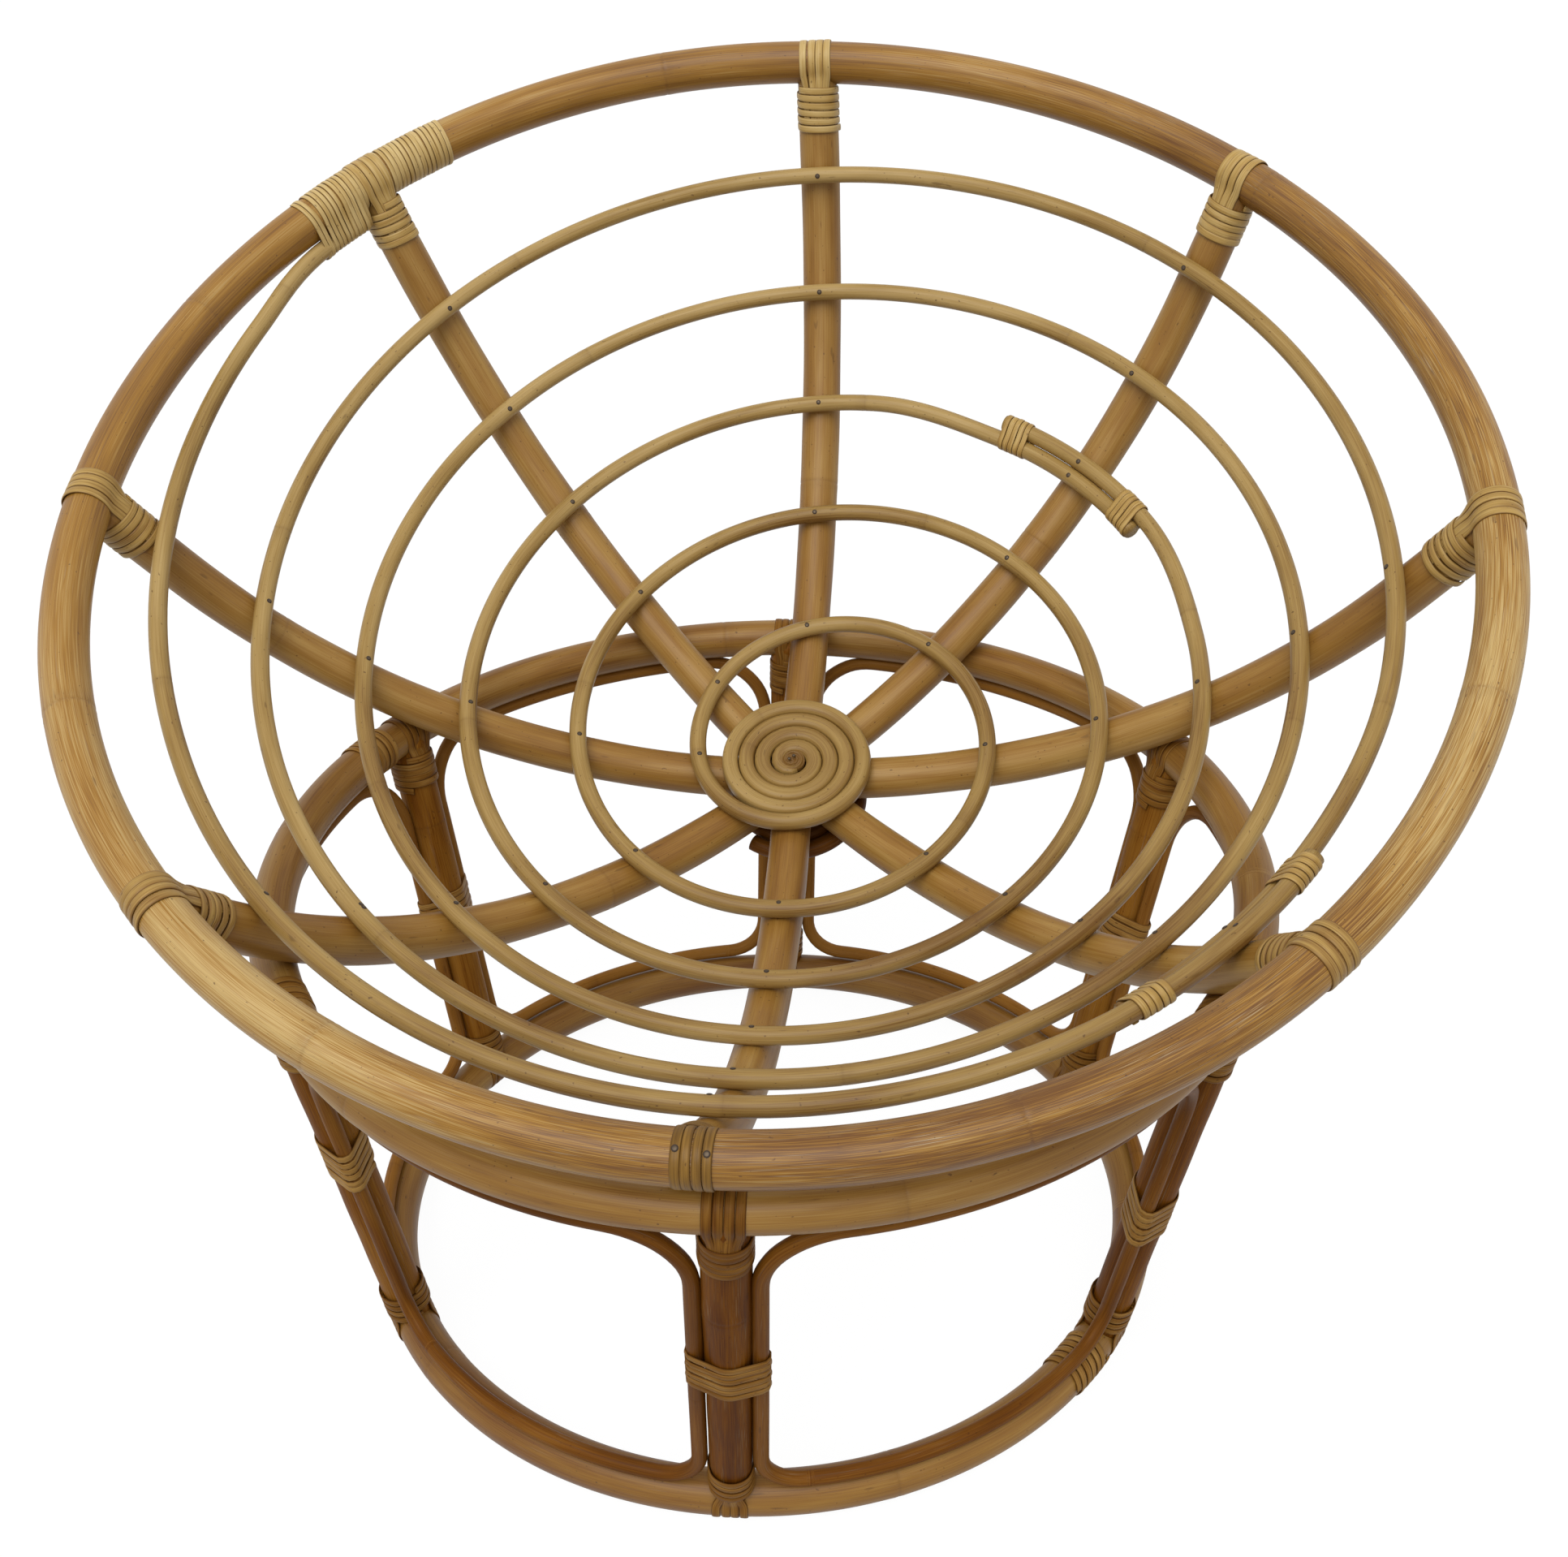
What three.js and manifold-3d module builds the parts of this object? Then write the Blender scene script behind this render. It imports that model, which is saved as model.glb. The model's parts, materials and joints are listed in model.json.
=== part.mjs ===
// Papasan chair: a round bowl of rattan poles that sits loose in a round rattan base.
// Millimetres, +Z up. The sitter faces -Y and +X is on the right of the drawing.
// The origin is on the floor, under the middle of the whole chair's outline.
import * as THREE from 'three';
import { mergeVertices } from 'three/addons/utils/BufferGeometryUtils.js';
import Module from 'manifold-3d';

const wasm = await Module();
wasm.setup();

// Base: two rings, six leaning legs and a hoop of thin rattan in each bay.
const TOP_RING = { radius: 371.8, height: 359.1, pole: 16.2, shift: 0, steps: 6 };
const BOTTOM_RING = { radius: 310.3, height: 18, pole: 16.6, shift: -7, steps: 6 };
const LEG_POLE = 16.2;
const LEG_END = 6; // a leg's coped end stops this far short of a ring's centreline
const LEGS = [
  { name: 'front', azimuth: -88.2, binding: 0.46 },
  { name: 'front_right', azimuth: -25.5, binding: 0.4 },
  { name: 'back_right', azimuth: 32.3, binding: 0.48 },
  { name: 'back', azimuth: 93.3, binding: 0.5 },
  { name: 'back_left', azimuth: 153.2, binding: 0.54 },
  { name: 'front_left', azimuth: 216.5, binding: 0.54 },
];
const BAYS = ['front_right', 'right', 'back_right', 'back_left', 'left', 'front_left'];
const HOOP = { pole: 5.8, topCorner: 55, bottomCorner: 32, forward: 3 };
const HOOP_BESIDE = 22.6; // from a leg's centreline across to a hoop's side

// Bowl: its ribs lie on a sphere, so it can slide to any tilt on the base ring.
const RIB_CLEARANCE = 2.6; // from a rib down to the base ring
const RIB_POLE = 16.8;
const RIB_SPHERE = 557; // radius of the sphere through the ribs' centrelines
const TILT = 23.9; // the rim leans forward by this many degrees
const TWIST = 0.4;
const RIM = { radius: 517.4, pole: 18.2, height: -216.2, steps: 4 }; // height from the sphere's centre
const HUB_SHIFT = 15.9; // the ribs meet this far in front of the bowl's axis
const RIB_INNER_END = 48; // distance of a rib's inner end from the hub
const RIB_OUTER_END = 14; // a rib's coped end stops this far short of the rim's centreline
const RIBS = [
  { name: 'back', azimuth: 89.2, sweep: 2.1, turns: 5 },
  { name: 'back_right', azimuth: 44, sweep: 2.5, turns: 5 },
  { name: 'right', azimuth: -0.7, sweep: 0.3, turns: 5 },
  { name: 'front_right', azimuth: -44.1, sweep: -0.9, turns: 4 },
  { name: 'front', azimuth: -89.4, sweep: -1.6, turns: 3 },
  { name: 'front_left', azimuth: -134.5, sweep: -1.2, turns: 5 },
  { name: 'left', azimuth: -177.6, sweep: -2.4, turns: 5 },
  { name: 'back_left', azimuth: -223.6, sweep: -1.2, turns: 5 },
];
const SWEEP_PIVOT = 0.6; // the polar angle, in radians, where a rib has its stated azimuth

// Spiral: one run of rattan core, wound tight as the hub and then open up the bowl.
const STRAND = 7;
const STRAND_SEAT = 1; // room between a strand and a rib, which their flats need
const COIL = { outer: 60.2, pitch: 14.85, turns: 3.55, leaves: -0.2, open: 0.1 };
const SPIRAL_START = 225; // azimuth of turn 0, from where it runs clockwise
const SPIRAL_RISE = [0.1605, 0.2124, -0.0129, 0.0015]; // polar angle against turns
const SPIRAL_LEAN = { x: 0.0322, xGrowth: -0.0017, y: 0.0053, yGrowth: 0.0064 };
const SPIRAL_OVAL = { x: -0.0007, xGrowth: -0.0014, y: 0.0051, yGrowth: -0.0028 };
const SPLICES = [
  { start: 2.458, end: 2.546, bindings: [2.47, 2.534] },
  { start: 4.713, end: 4.784, bindings: [4.724, 4.773] },
];
const SPLICE_BINDING = 25; // length of a binding
const SPLICE_EASE = 0.08; // turns over which a strand steps aside for its neighbour
const SPIRAL_END = { turn: 5.221, eases: 5.14 };
const STRAND_STEPS = 24; // straight steps in a turn
const HUB_DISC = { turns: 4, strand: 7.5 };

// Cane: flat strips that lash the joints.
const FIT = 0.3; // room between pieces that touch
const CANE = 1.2;
const GROOVE = 0.45; // depth of the groove between two strips
const STRIPS = 4;
const STRIP_WIDTH = 6.6;
const WRAP_PITCH = 6.2;
const WRAP_SIDES = 8;
const WRAP_START = 19.8; // from the rim's centreline to the wrap on a rib
const RIM_SCARF = { from: 128, to: 144.6, turns: 11 };
const RING_SCARFS = [
  { name: 'top_ring_wrap', ring: TOP_RING, from: 155.9, to: 161.6, turns: 5 },
  { name: 'bottom_ring_wrap', ring: BOTTOM_RING, from: -36.5, to: -29.5, turns: 5 },
];

const RATTAN = { rim: 0x9d794a, rib: 0x94764d, core: 0x9b7e4e, base: 0x966f42, hoop: 0x8a6a42 };
const CANE_COLOUR = 0xa98b5c;

const POLE_SIDES = 8;
const SEAT = 17; // a ring runs straight this far to each side of a joint
const { degToRad: radians, radToDeg: degrees, lerp, smoothstep } = THREE.MathUtils;
const RIM_POLAR = Math.atan2(RIM.radius, -RIM.height);
TOP_RING.joints = LEGS.map((leg) => leg.azimuth);
BOTTOM_RING.joints = TOP_RING.joints;
RIM.joints = RIBS.map((rib) => degrees(ribAzimuth(rib, RIM_POLAR))).sort((a, b) => a - b);
const SPHERE_HEIGHT = TOP_RING.height + Math.sqrt(
  (RIB_SPHERE + RIB_POLE + TOP_RING.pole + RIB_CLEARANCE) ** 2 - TOP_RING.radius ** 2,
);
const STRAND_SPHERE = RIB_SPHERE - RIB_POLE - STRAND - STRAND_SEAT;

/** A point from its three coordinates. */
function point(x, y, z) {
  return new THREE.Vector3(x, y, z);
}

/** A curve that passes straight from one given point to the next, a step for each. */
class Route extends THREE.Curve {
  constructor(points, closed = false) {
    super();
    this.points = points;
    this.closed = closed;
    this.steps = closed ? points.length : points.length - 1;
  }

  vertex(index) {
    const count = this.points.length;
    if (this.closed) return this.points[(index + count) % count];
    return this.points[Math.min(Math.max(index, 0), count - 1)];
  }

  getPoint(t, target = new THREE.Vector3()) {
    const place = t * this.steps;
    const index = Math.min(Math.floor(place), this.steps - 1);
    return target.lerpVectors(this.vertex(index), this.vertex(index + 1), place - index);
  }

  getPointAt(u, target) {
    return this.getPoint(u, target);
  }

  getTangentAt(u, target = new THREE.Vector3()) {
    const index = Math.round(u * this.steps);
    const into = this.vertex(index).clone().sub(this.vertex(index - 1)).normalize();
    const outOf = this.vertex(index + 1).clone().sub(this.vertex(index)).normalize();
    return target.addVectors(into, outOf).normalize();
  }
}

/** A round pole along an open route. */
function pole(points, radius, sides = POLE_SIDES) {
  const section = new THREE.Shape(circlePoints(radius, sides));
  const route = new Route(points);
  return new THREE.ExtrudeGeometry(section, {
    steps: route.steps, extrudePath: route, bevelEnabled: false,
  });
}

/** Corner points of a regular polygon. */
function circlePoints(radius, sides) {
  return Array.from({ length: sides }, (_, i) => {
    const angle = (2 * Math.PI * i) / sides;
    return new THREE.Vector2(radius * Math.cos(angle), radius * Math.sin(angle));
  });
}

/** Azimuths of a ring's corners: a straight seat at each joint and even steps between. */
function ringCorners(ring) {
  const seat = degrees(SEAT / ring.radius);
  const { joints, steps } = ring;
  return joints.flatMap((joint, i) => {
    const next = i + 1 < joints.length ? joints[i + 1] : joints[0] + 360;
    return Array.from({ length: steps + 1 }, (_, k) => lerp(joint + seat, next - seat, k / steps));
  });
}

/** Where a ring's centreline, which runs straight between corners, passes an azimuth. */
function ringPoint(ring, azimuth) {
  const corners = ringCorners(ring);
  const turned = (from) => THREE.MathUtils.euclideanModulo(azimuth - from, 360);
  const nearest = corners.reduce((best, corner) => (turned(corner) < turned(best) ? corner : best));
  const following = corners[(corners.indexOf(nearest) + 1) % corners.length];
  const half = THREE.MathUtils.euclideanModulo(following - nearest, 360) / 2;
  const reach = (ring.radius * Math.cos(radians(half))) / Math.cos(radians(turned(nearest) - half));
  const a = radians(azimuth);
  return point(reach * Math.cos(a) + (ring.shift ?? 0), reach * Math.sin(a), ring.height);
}

/** A level ring of pole; extra thickens it, for use as a cutter. */
function ringPole(ring, extra = 0) {
  const route = new Route(ringCorners(ring).map((azimuth) => ringPoint(ring, azimuth)), true);
  return new THREE.TubeGeometry(route, route.steps, ring.pole + extra, POLE_SIDES, true);
}

/** A geometry as a solid that can be joined and cut. */
function solid(geometry) {
  const bare = geometry.clone();
  bare.deleteAttribute('normal');
  bare.deleteAttribute('uv');
  const merged = mergeVertices(bare, 1e-4);
  return new wasm.Manifold(new wasm.Mesh({
    numProp: 3,
    vertProperties: new Float32Array(merged.attributes.position.array),
    triVerts: new Uint32Array(merged.index.array),
  }));
}

/** A solid as a geometry. */
function geometryOf(body) {
  const mesh = body.getMesh();
  const geometry = new THREE.BufferGeometry();
  geometry.setAttribute('position', new THREE.BufferAttribute(mesh.vertProperties, 3));
  geometry.setIndex(new THREE.BufferAttribute(mesh.triVerts, 1));
  geometry.computeVertexNormals();
  return geometry;
}

/** The largest closed skin of a joined body, without sealed pockets or tiny edges. */
function outerSkin(body) {
  const skins = body.simplify(0.04).decompose();
  return skins.reduce((best, skin) => (skin.volume() > best.volume() ? skin : best));
}

/** Six times the volume inside a triangle mesh, negative when its faces point inwards. */
function signedVolume(points, index) {
  let sum = 0;
  for (let i = 0; i < index.length; i += 3) {
    const [a, b, c] = [points[index[i]], points[index[i + 1]], points[index[i + 2]]];
    sum += a.dot(b.clone().cross(c));
  }
  return sum;
}

/** A skin over equal rings of points. Flat ends follow the outline's own triangles. */
function loft(rings, outline) {
  const count = rings[0].length;
  const points = rings.flat();
  const index = [];
  for (let k = 0; k < rings.length - 1; k++) {
    for (let i = 0; i < count; i++) {
      const a = k * count + i;
      const b = k * count + ((i + 1) % count);
      index.push(a, b, b + count, a, b + count, a + count);
    }
  }
  const last = (rings.length - 1) * count;
  for (const [a, b, c] of THREE.ShapeUtils.triangulateShape(outline, [])) {
    index.push(a, c, b, last + a, last + b, last + c);
  }
  if (signedVolume(points, index) < 0) index.reverse();
  const geometry = new THREE.BufferGeometry();
  geometry.setFromPoints(points);
  geometry.setIndex(index);
  geometry.computeVertexNormals();
  return geometry;
}

/** The frame at a leg: its two ends, its length and its three directions. */
function legFrame(azimuth) {
  const bottom = ringPoint(BOTTOM_RING, azimuth);
  const top = ringPoint(TOP_RING, azimuth);
  const up = top.clone().sub(bottom).normalize();
  const around = point(-Math.sin(radians(azimuth)), Math.cos(radians(azimuth)), 0);
  const out = around.clone().cross(up).normalize();
  return { bottom, top, up, around, out, length: top.distanceTo(bottom) };
}

/** One leg, with both ends coped to seat on the rings. */
function legGeometry(azimuth, cutters) {
  const { bottom, top, up } = legFrame(azimuth);
  const from = bottom.clone().addScaledVector(up, LEG_END);
  const to = top.clone().addScaledVector(up, -LEG_END);
  const blank = solid(pole([from, to], LEG_POLE));
  return geometryOf(blank.subtract(cutters.top).subtract(cutters.bottom));
}

/** A point on the cone between the rings: a height up the legs and an arc beside one of them. */
function conePoint(azimuth, beside, height) {
  const frame = legFrame(azimuth);
  const share = height / frame.length;
  const radius = lerp(BOTTOM_RING.radius, TOP_RING.radius, share);
  const turned = legFrame(azimuth + degrees(beside / radius));
  return turned.bottom.lerp(turned.top, share).addScaledVector(turned.out, HOOP.forward);
}

/** Quarter circle of a hoop's corner, as arc positions beside a leg and heights up it. */
function cornerPoints(centreX, centreY, radius, fromDegrees, toDegrees) {
  const steps = 3;
  return Array.from({ length: steps + 1 }, (_, i) => {
    const angle = radians(lerp(fromDegrees, toDegrees, i / steps));
    return [centreX + radius * Math.cos(angle), centreY + radius * Math.sin(angle)];
  });
}

/** The half of a hoop that runs up beside one leg, from the bottom run to the top run. */
function hoopSide(azimuth, direction) {
  const low = BOTTOM_RING.pole + HOOP.pole + 2 * FIT;
  const high = legFrame(azimuth).length - TOP_RING.pole - HOOP.pole - 2 * FIT;
  const { bottomCorner, topCorner } = HOOP;
  const outline = [
    ...cornerPoints(HOOP_BESIDE + bottomCorner, low + bottomCorner, bottomCorner, 270, 180),
    ...cornerPoints(HOOP_BESIDE + topCorner, high - topCorner, topCorner, 180, 90),
  ];
  return outline.map(([x, y]) => conePoint(azimuth, direction * x, y));
}

/** Points along a straight or curved run between two azimuths, ends left out. */
function hoopRun(fromAzimuth, toAzimuth, inset, height) {
  const reach = inset / TOP_RING.radius;
  const from = fromAzimuth + degrees(reach);
  const to = toAzimuth - degrees(reach);
  const steps = 4;
  return Array.from({ length: steps - 1 }, (_, i) => {
    return conePoint(lerp(from, to, (i + 1) / steps), 0, height);
  });
}

/** The hoop that fills the bay between two legs. */
function hoopGeometry(azimuth, nextAzimuth) {
  const end = nextAzimuth < azimuth ? nextAzimuth + 360 : nextAzimuth;
  const low = BOTTOM_RING.pole + HOOP.pole + 2 * FIT;
  const high = legFrame(azimuth).length - TOP_RING.pole - HOOP.pole - 2 * FIT;
  const inset = LEG_POLE + HOOP.pole + (HOOP.topCorner + HOOP.bottomCorner) / 2;
  const points = [
    ...hoopSide(azimuth, 1),
    ...hoopRun(azimuth, end, inset, high),
    ...hoopSide(end, -1).reverse(),
    ...hoopRun(azimuth, end, inset, low).reverse(),
  ];
  const route = new Route(points, true);
  return new THREE.TubeGeometry(route, route.steps, HOOP.pole, 6, true);
}

/** Heights along a wrap of cane: a crest for each turn and a groove between turns. */
function wrapProfile(turns) {
  const last = 2 * (turns - 1);
  return Array.from({ length: last + 1 }, (_, i) => ({
    along: i / last,
    height: i % 2 ? CANE - GROOVE : CANE,
  }));
}

/** Radius of the eight-sided bore that clears a round pole, at its corners. */
function boreCorner(radius) {
  return (radius + FIT) / Math.cos(Math.PI / WRAP_SIDES);
}

/** A wrap of cane round a straight round pole, from z = start up. */
function roundWrap(radius, start, turns) {
  const bore = boreCorner(radius);
  const length = turns * WRAP_PITCH;
  const outer = wrapProfile(turns).map(({ along, height }) => {
    return new THREE.Vector2(bore + height, start + along * length);
  });
  const inner = [new THREE.Vector2(bore, start + length), new THREE.Vector2(bore, start)];
  const profile = [inner[1], ...outer, ...inner];
  return new THREE.LatheGeometry(profile, WRAP_SIDES, Math.PI / WRAP_SIDES + 0.03).rotateX(Math.PI / 2);
}

/** Section of a band of strips that lies flat: across, and height over what is below. */
function flatBand() {
  const across = [-0.5, -0.25, 0.25, 0.5].map((share) => share * STRIPS * STRIP_WIDTH);
  const under = across.map((x) => new THREE.Vector2(x, 0));
  return [...under, ...across.reverse().map((x) => new THREE.Vector2(x, CANE))];
}

/** Section of a band that hugs a pole: it follows the flats of the wrap that holds it. */
function huggingBand(radius) {
  const corner = boreCorner(radius);
  const places = [[-45, radius + FIT], [-22.5, corner], [22.5, corner], [45, radius + FIT]];
  const ring = (lift) => places.map(([angle, reach]) => {
    const turned = radians(angle);
    const x = (reach + lift) * Math.sin(turned);
    return new THREE.Vector2(x, (reach + lift) * Math.cos(turned) - radius - FIT);
  });
  return [...ring(0.3), ...ring(CANE - 0.4).reverse()];
}

/** Angle round a pole, from straight over it, where a strip leaves it for a point beside it. */
function leavingAngle(y, z, radius) {
  return Math.atan2(Math.abs(y), -z) - Math.acos(radius / Math.hypot(y, z));
}

/**
 * Strips that pass over a through pole and lie along a member that butts against it.
 * The through pole runs along X and the member leaves along +Z, its axis at y = offset.
 */
function saddle(throughRadius, memberRadius, offset, tail) {
  const radius = throughRadius + FIT;
  const sides = [offset + memberRadius + FIT, offset - memberRadius - FIT];
  const from = leavingAngle(sides[0], tail - 2, radius);
  const to = -leavingAngle(sides[1], tail - 2, radius);
  const steps = 5;
  const arc = radius / Math.cos((from - to) / (2 * steps));
  const flat = flatBand();
  const hug = huggingBand(memberRadius);
  const path = [{ y: sides[0], z: tail, section: hug }, { y: sides[0], z: tail - 2, section: hug }];
  for (let i = 0; i <= steps; i++) {
    const angle = lerp(from, to, i / steps);
    path.push({ y: arc * Math.sin(angle), z: -arc * Math.cos(angle), section: flat });
  }
  path.push({ y: sides[1], z: tail - 2, section: hug }, { y: sides[1], z: tail, section: hug });
  const rings = path.map((place, i) => {
    const before = path[Math.max(i - 1, 0)];
    const after = path[Math.min(i + 1, path.length - 1)];
    const along = new THREE.Vector2(after.y - before.y, after.z - before.z).normalize();
    if (place.section === hug) along.set(0, i < steps ? -1 : 1);
    return place.section.map(({ x, y: height }) => {
      return point(x, place.y - height * along.y, place.z + height * along.x);
    });
  });
  return loft(rings, hug);
}

/** A matrix that carries local X, Y and Z onto three directions at a point. */
function placement(origin, xAxis, yAxis, zAxis) {
  return new THREE.Matrix4().makeBasis(xAxis, yAxis, zAxis).setPosition(origin);
}

/** The lashing of one leg to a ring: strips over the ring and turns of cane on the leg. */
function legLashing(azimuth, ring, turns, floor) {
  const { bottom, top, up, around, out } = legFrame(azimuth);
  const atTop = ring === TOP_RING;
  const away = atTop ? up.clone().negate() : up;
  const sideways = atTop ? around : around.clone().negate();
  const matrix = placement(atTop ? top : bottom, sideways, out, away);
  const start = ring.pole + 1.5;
  const strips = saddle(ring.pole, LEG_POLE, 0, start + 1).applyMatrix4(matrix);
  const wraps = roundWrap(LEG_POLE, start, turns).applyMatrix4(matrix);
  const joined = solid(strips).add(solid(wraps));
  return geometryOf(outerSkin(floor ? joined.subtract(floor) : joined));
}

/** Outline round a leg and the two hoop sides beside it, which lie at x and y. */
function bindingOutline(x, y, extra) {
  const small = HOOP.pole + FIT + extra;
  const large = LEG_POLE + FIT + extra;
  const corner = Math.tan(Math.PI / 8);
  const right = [
    [corner * large, -large],
    [x + corner * small, y - small],
    [x + small, y - corner * small],
    [x + small, y + corner * small],
    [x + corner * small, y + small],
    [corner * large, large],
  ];
  const left = right.map(([across, out]) => [-across, out]).reverse();
  return [...right, ...left].map(([across, out]) => new THREE.Vector2(across, out));
}

/** A ridged sleeve over an outline that grows by the cane's height, less its bore. */
function outlineSleeve(outline, turns, length) {
  const rings = wrapProfile(turns).map(({ along, height }) => {
    return outline(height).map(({ x, y }) => point(x, y, (along - 0.5) * length));
  });
  const bore = [-0.6, 0.6].map((z) => outline(0).map(({ x, y }) => point(x, y, z * length)));
  return geometryOf(solid(loft(rings, outline(0))).subtract(solid(loft(bore, outline(0)))));
}

/** The binding that ties a leg to the two hoops beside it, a share of the way up. */
function middleBinding(azimuth, share) {
  const { bottom, up, around, out, length } = legFrame(azimuth);
  const height = share * length;
  const centre = bottom.clone().addScaledVector(up, height);
  const hoop = conePoint(azimuth, HOOP_BESIDE, height).sub(centre);
  const outline = (extra) => bindingOutline(hoop.dot(around), hoop.dot(out), extra);
  const matrix = placement(centre, around.clone().negate(), out, up);
  return outlineSleeve(outline, 5, 38).applyMatrix4(matrix);
}

/** Ridged turns of cane round a stretch of a ring, before its bore is cut. */
function ringSleeve(ring, from, to, turns) {
  const rings = wrapProfile(turns).map(({ along, height }) => {
    const azimuth = lerp(from, to, along);
    const centre = ringPoint(ring, azimuth);
    const out = point(Math.cos(radians(azimuth)), Math.sin(radians(azimuth)), 0);
    return circlePoints(ring.pole + 2 * FIT + height, POLE_SIDES).map(({ x, y }) => {
      return centre.clone().addScaledVector(out, x).add(point(0, 0, y));
    });
  });
  return solid(loft(rings, circlePoints(1, POLE_SIDES)));
}

/** How far the hub's offset shows at a polar angle, from all of it to none at the rim. */
function hubShare(polar) {
  return Math.max(0, 1 - polar / 1.2) ** 2;
}

/** The point of a sphere round the bowl's own centre that lies below x and y. */
function spherePoint(sphere, x, y) {
  return point(x, y, -Math.sqrt(sphere ** 2 - x ** 2 - y ** 2));
}

/** A point of the bowl at a polar angle and azimuth, which are measured from the hub. */
function bowlPoint(sphere, polar, azimuth) {
  const out = sphere * Math.sin(polar);
  const y = out * Math.sin(azimuth) - HUB_SHIFT * hubShare(polar);
  return spherePoint(sphere, out * Math.cos(azimuth), y);
}

/** A rib's azimuth in radians at a polar angle. */
function ribAzimuth(rib, polar) {
  return radians(rib.azimuth + rib.sweep * (polar - SWEEP_PIVOT));
}

/** A point on a rib's centreline. */
function ribPoint(rib, polar) {
  return bowlPoint(RIB_SPHERE, polar, ribAzimuth(rib, polar));
}

/** Corners of a rib's centreline: even steps from the hub, then straight into the rim. */
function ribCorners(rib) {
  const straight = WRAP_START + rib.turns * WRAP_PITCH + 3;
  const from = RIB_INNER_END / RIB_SPHERE;
  const seat = RIM_POLAR - straight / RIB_SPHERE;
  const steps = 9;
  const polars = Array.from({ length: steps + 1 }, (_, i) => lerp(from, seat, i / steps));
  return [...polars, RIM_POLAR - RIB_OUTER_END / RIB_SPHERE].map((polar) => ribPoint(rib, polar));
}

/** The uncut pole of a rib, from the hub into the rim. */
function ribPole(rib, radius) {
  return solid(pole(ribCorners(rib), radius));
}

/** The frame of the wrap that holds a rib near the rim, at the middle of the wrap. */
function wrapFrame(rib) {
  const half = (rib.turns * WRAP_PITCH) / 2;
  const [seat, end] = ribCorners(rib).slice(-2);
  const down = seat.clone().sub(end).normalize();
  const start = end.addScaledVector(down, WRAP_START - RIB_OUTER_END);
  return { centre: start.clone().addScaledVector(down, half), down, start, half };
}

/** The lashing of one rib to the rim; under lifts its strips over turns on the rim. */
function ribLashing(rib, under = 0) {
  const { centre, down, start, half } = wrapFrame(rib);
  const azimuth = ribAzimuth(rib, RIM_POLAR);
  const around = point(-Math.sin(azimuth), Math.cos(azimuth), 0);
  const inward = around.clone().cross(down).normalize();
  const below = inward.clone().cross(around).normalize();
  const rim = ringPoint(RIM, degrees(azimuth));
  const seat = start.clone().sub(rim);
  rim.addScaledVector(around, seat.dot(around));
  const strips = saddle(RIM.pole + under, RIB_POLE, seat.dot(inward), seat.dot(below) + 1);
  strips.applyMatrix4(placement(rim, around.clone().negate(), inward, below));
  const sideways = inward.clone().cross(down).normalize();
  const wraps = roundWrap(RIB_POLE, -half, rib.turns);
  wraps.applyMatrix4(placement(centre, sideways, inward, down));
  return solid(strips).add(solid(wraps));
}

/** The back-left lashing, which runs on along the rim over its scarf joint. */
function scarfLashing(rib, rimCutter) {
  const { from, to, turns } = RIM_SCARF;
  const along = ringSleeve(RIM, from, to, turns).subtract(rimCutter);
  const clear = along.subtract(ribPole(rib, RIB_POLE + FIT));
  return clear.add(ribLashing(rib, CANE));
}

/** Polar angle of the open spiral after a number of turns. */
function spiralPolar(turn) {
  const azimuth = radians(SPIRAL_START - 360 * turn);
  const [base, first, second, third] = SPIRAL_RISE;
  const rise = base + first * turn + second * turn ** 2 + third * turn ** 3;
  return rise + wave(SPIRAL_LEAN, turn, azimuth) + wave(SPIRAL_OVAL, turn, 2 * azimuth);
}

/** A cosine and a sine of an angle, whose heights grow with the turns. */
function wave({ x, xGrowth, y, yGrowth }, turn, angle) {
  return (x + xGrowth * turn) * Math.cos(angle) + (y + yGrowth * turn) * Math.sin(angle);
}

/** A point of the tight coil that forms the hub, at a turn before it opens. */
function coilPoint(turn) {
  const azimuth = radians(SPIRAL_START - 360 * turn);
  const radius = COIL.outer + COIL.pitch * (turn - COIL.leaves);
  const y = radius * Math.sin(azimuth) - HUB_SHIFT;
  return spherePoint(STRAND_SPHERE, radius * Math.cos(azimuth), y);
}

/** How far a strand lies inside (-1) or outside (1) the spiral at a splice. */
function stepAside(turn, start, end) {
  if (end !== undefined && turn > end.start - SPLICE_EASE) {
    return -smoothstep(turn, end.start - SPLICE_EASE, end.start);
  }
  if (start !== undefined && turn < start.end + SPLICE_EASE) {
    return 1 - smoothstep(turn, start.end, start.end + SPLICE_EASE);
  }
  return 0;
}

/** A point on a strand's centreline; aside moves it across the spiral by strand radii. */
function strandPoint(turn, aside = 0) {
  if (turn <= COIL.leaves) return coilPoint(turn);
  const polar = spiralPolar(turn) + (aside * (STRAND + FIT)) / STRAND_SPHERE;
  const open = bowlPoint(STRAND_SPHERE, polar, radians(SPIRAL_START - 360 * turn));
  if (turn >= COIL.open) return open;
  const share = smoothstep(turn, COIL.leaves, COIL.open);
  return coilPoint(turn).lerp(open, share).setLength(STRAND_SPHERE);
}

/** The last stretch of the spiral leaves the ribs' sphere and closes on the rim. */
function endPoint(turn) {
  const free = strandPoint(turn);
  const rim = ringPoint(RIM, SPIRAL_START - 360 * turn);
  const seat = free.clone().sub(rim).setLength(RIM.pole + STRAND + 2 * FIT).add(rim);
  return free.lerp(seat, smoothstep(turn, SPIRAL_END.eases, SPIRAL_END.turn));
}

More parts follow.
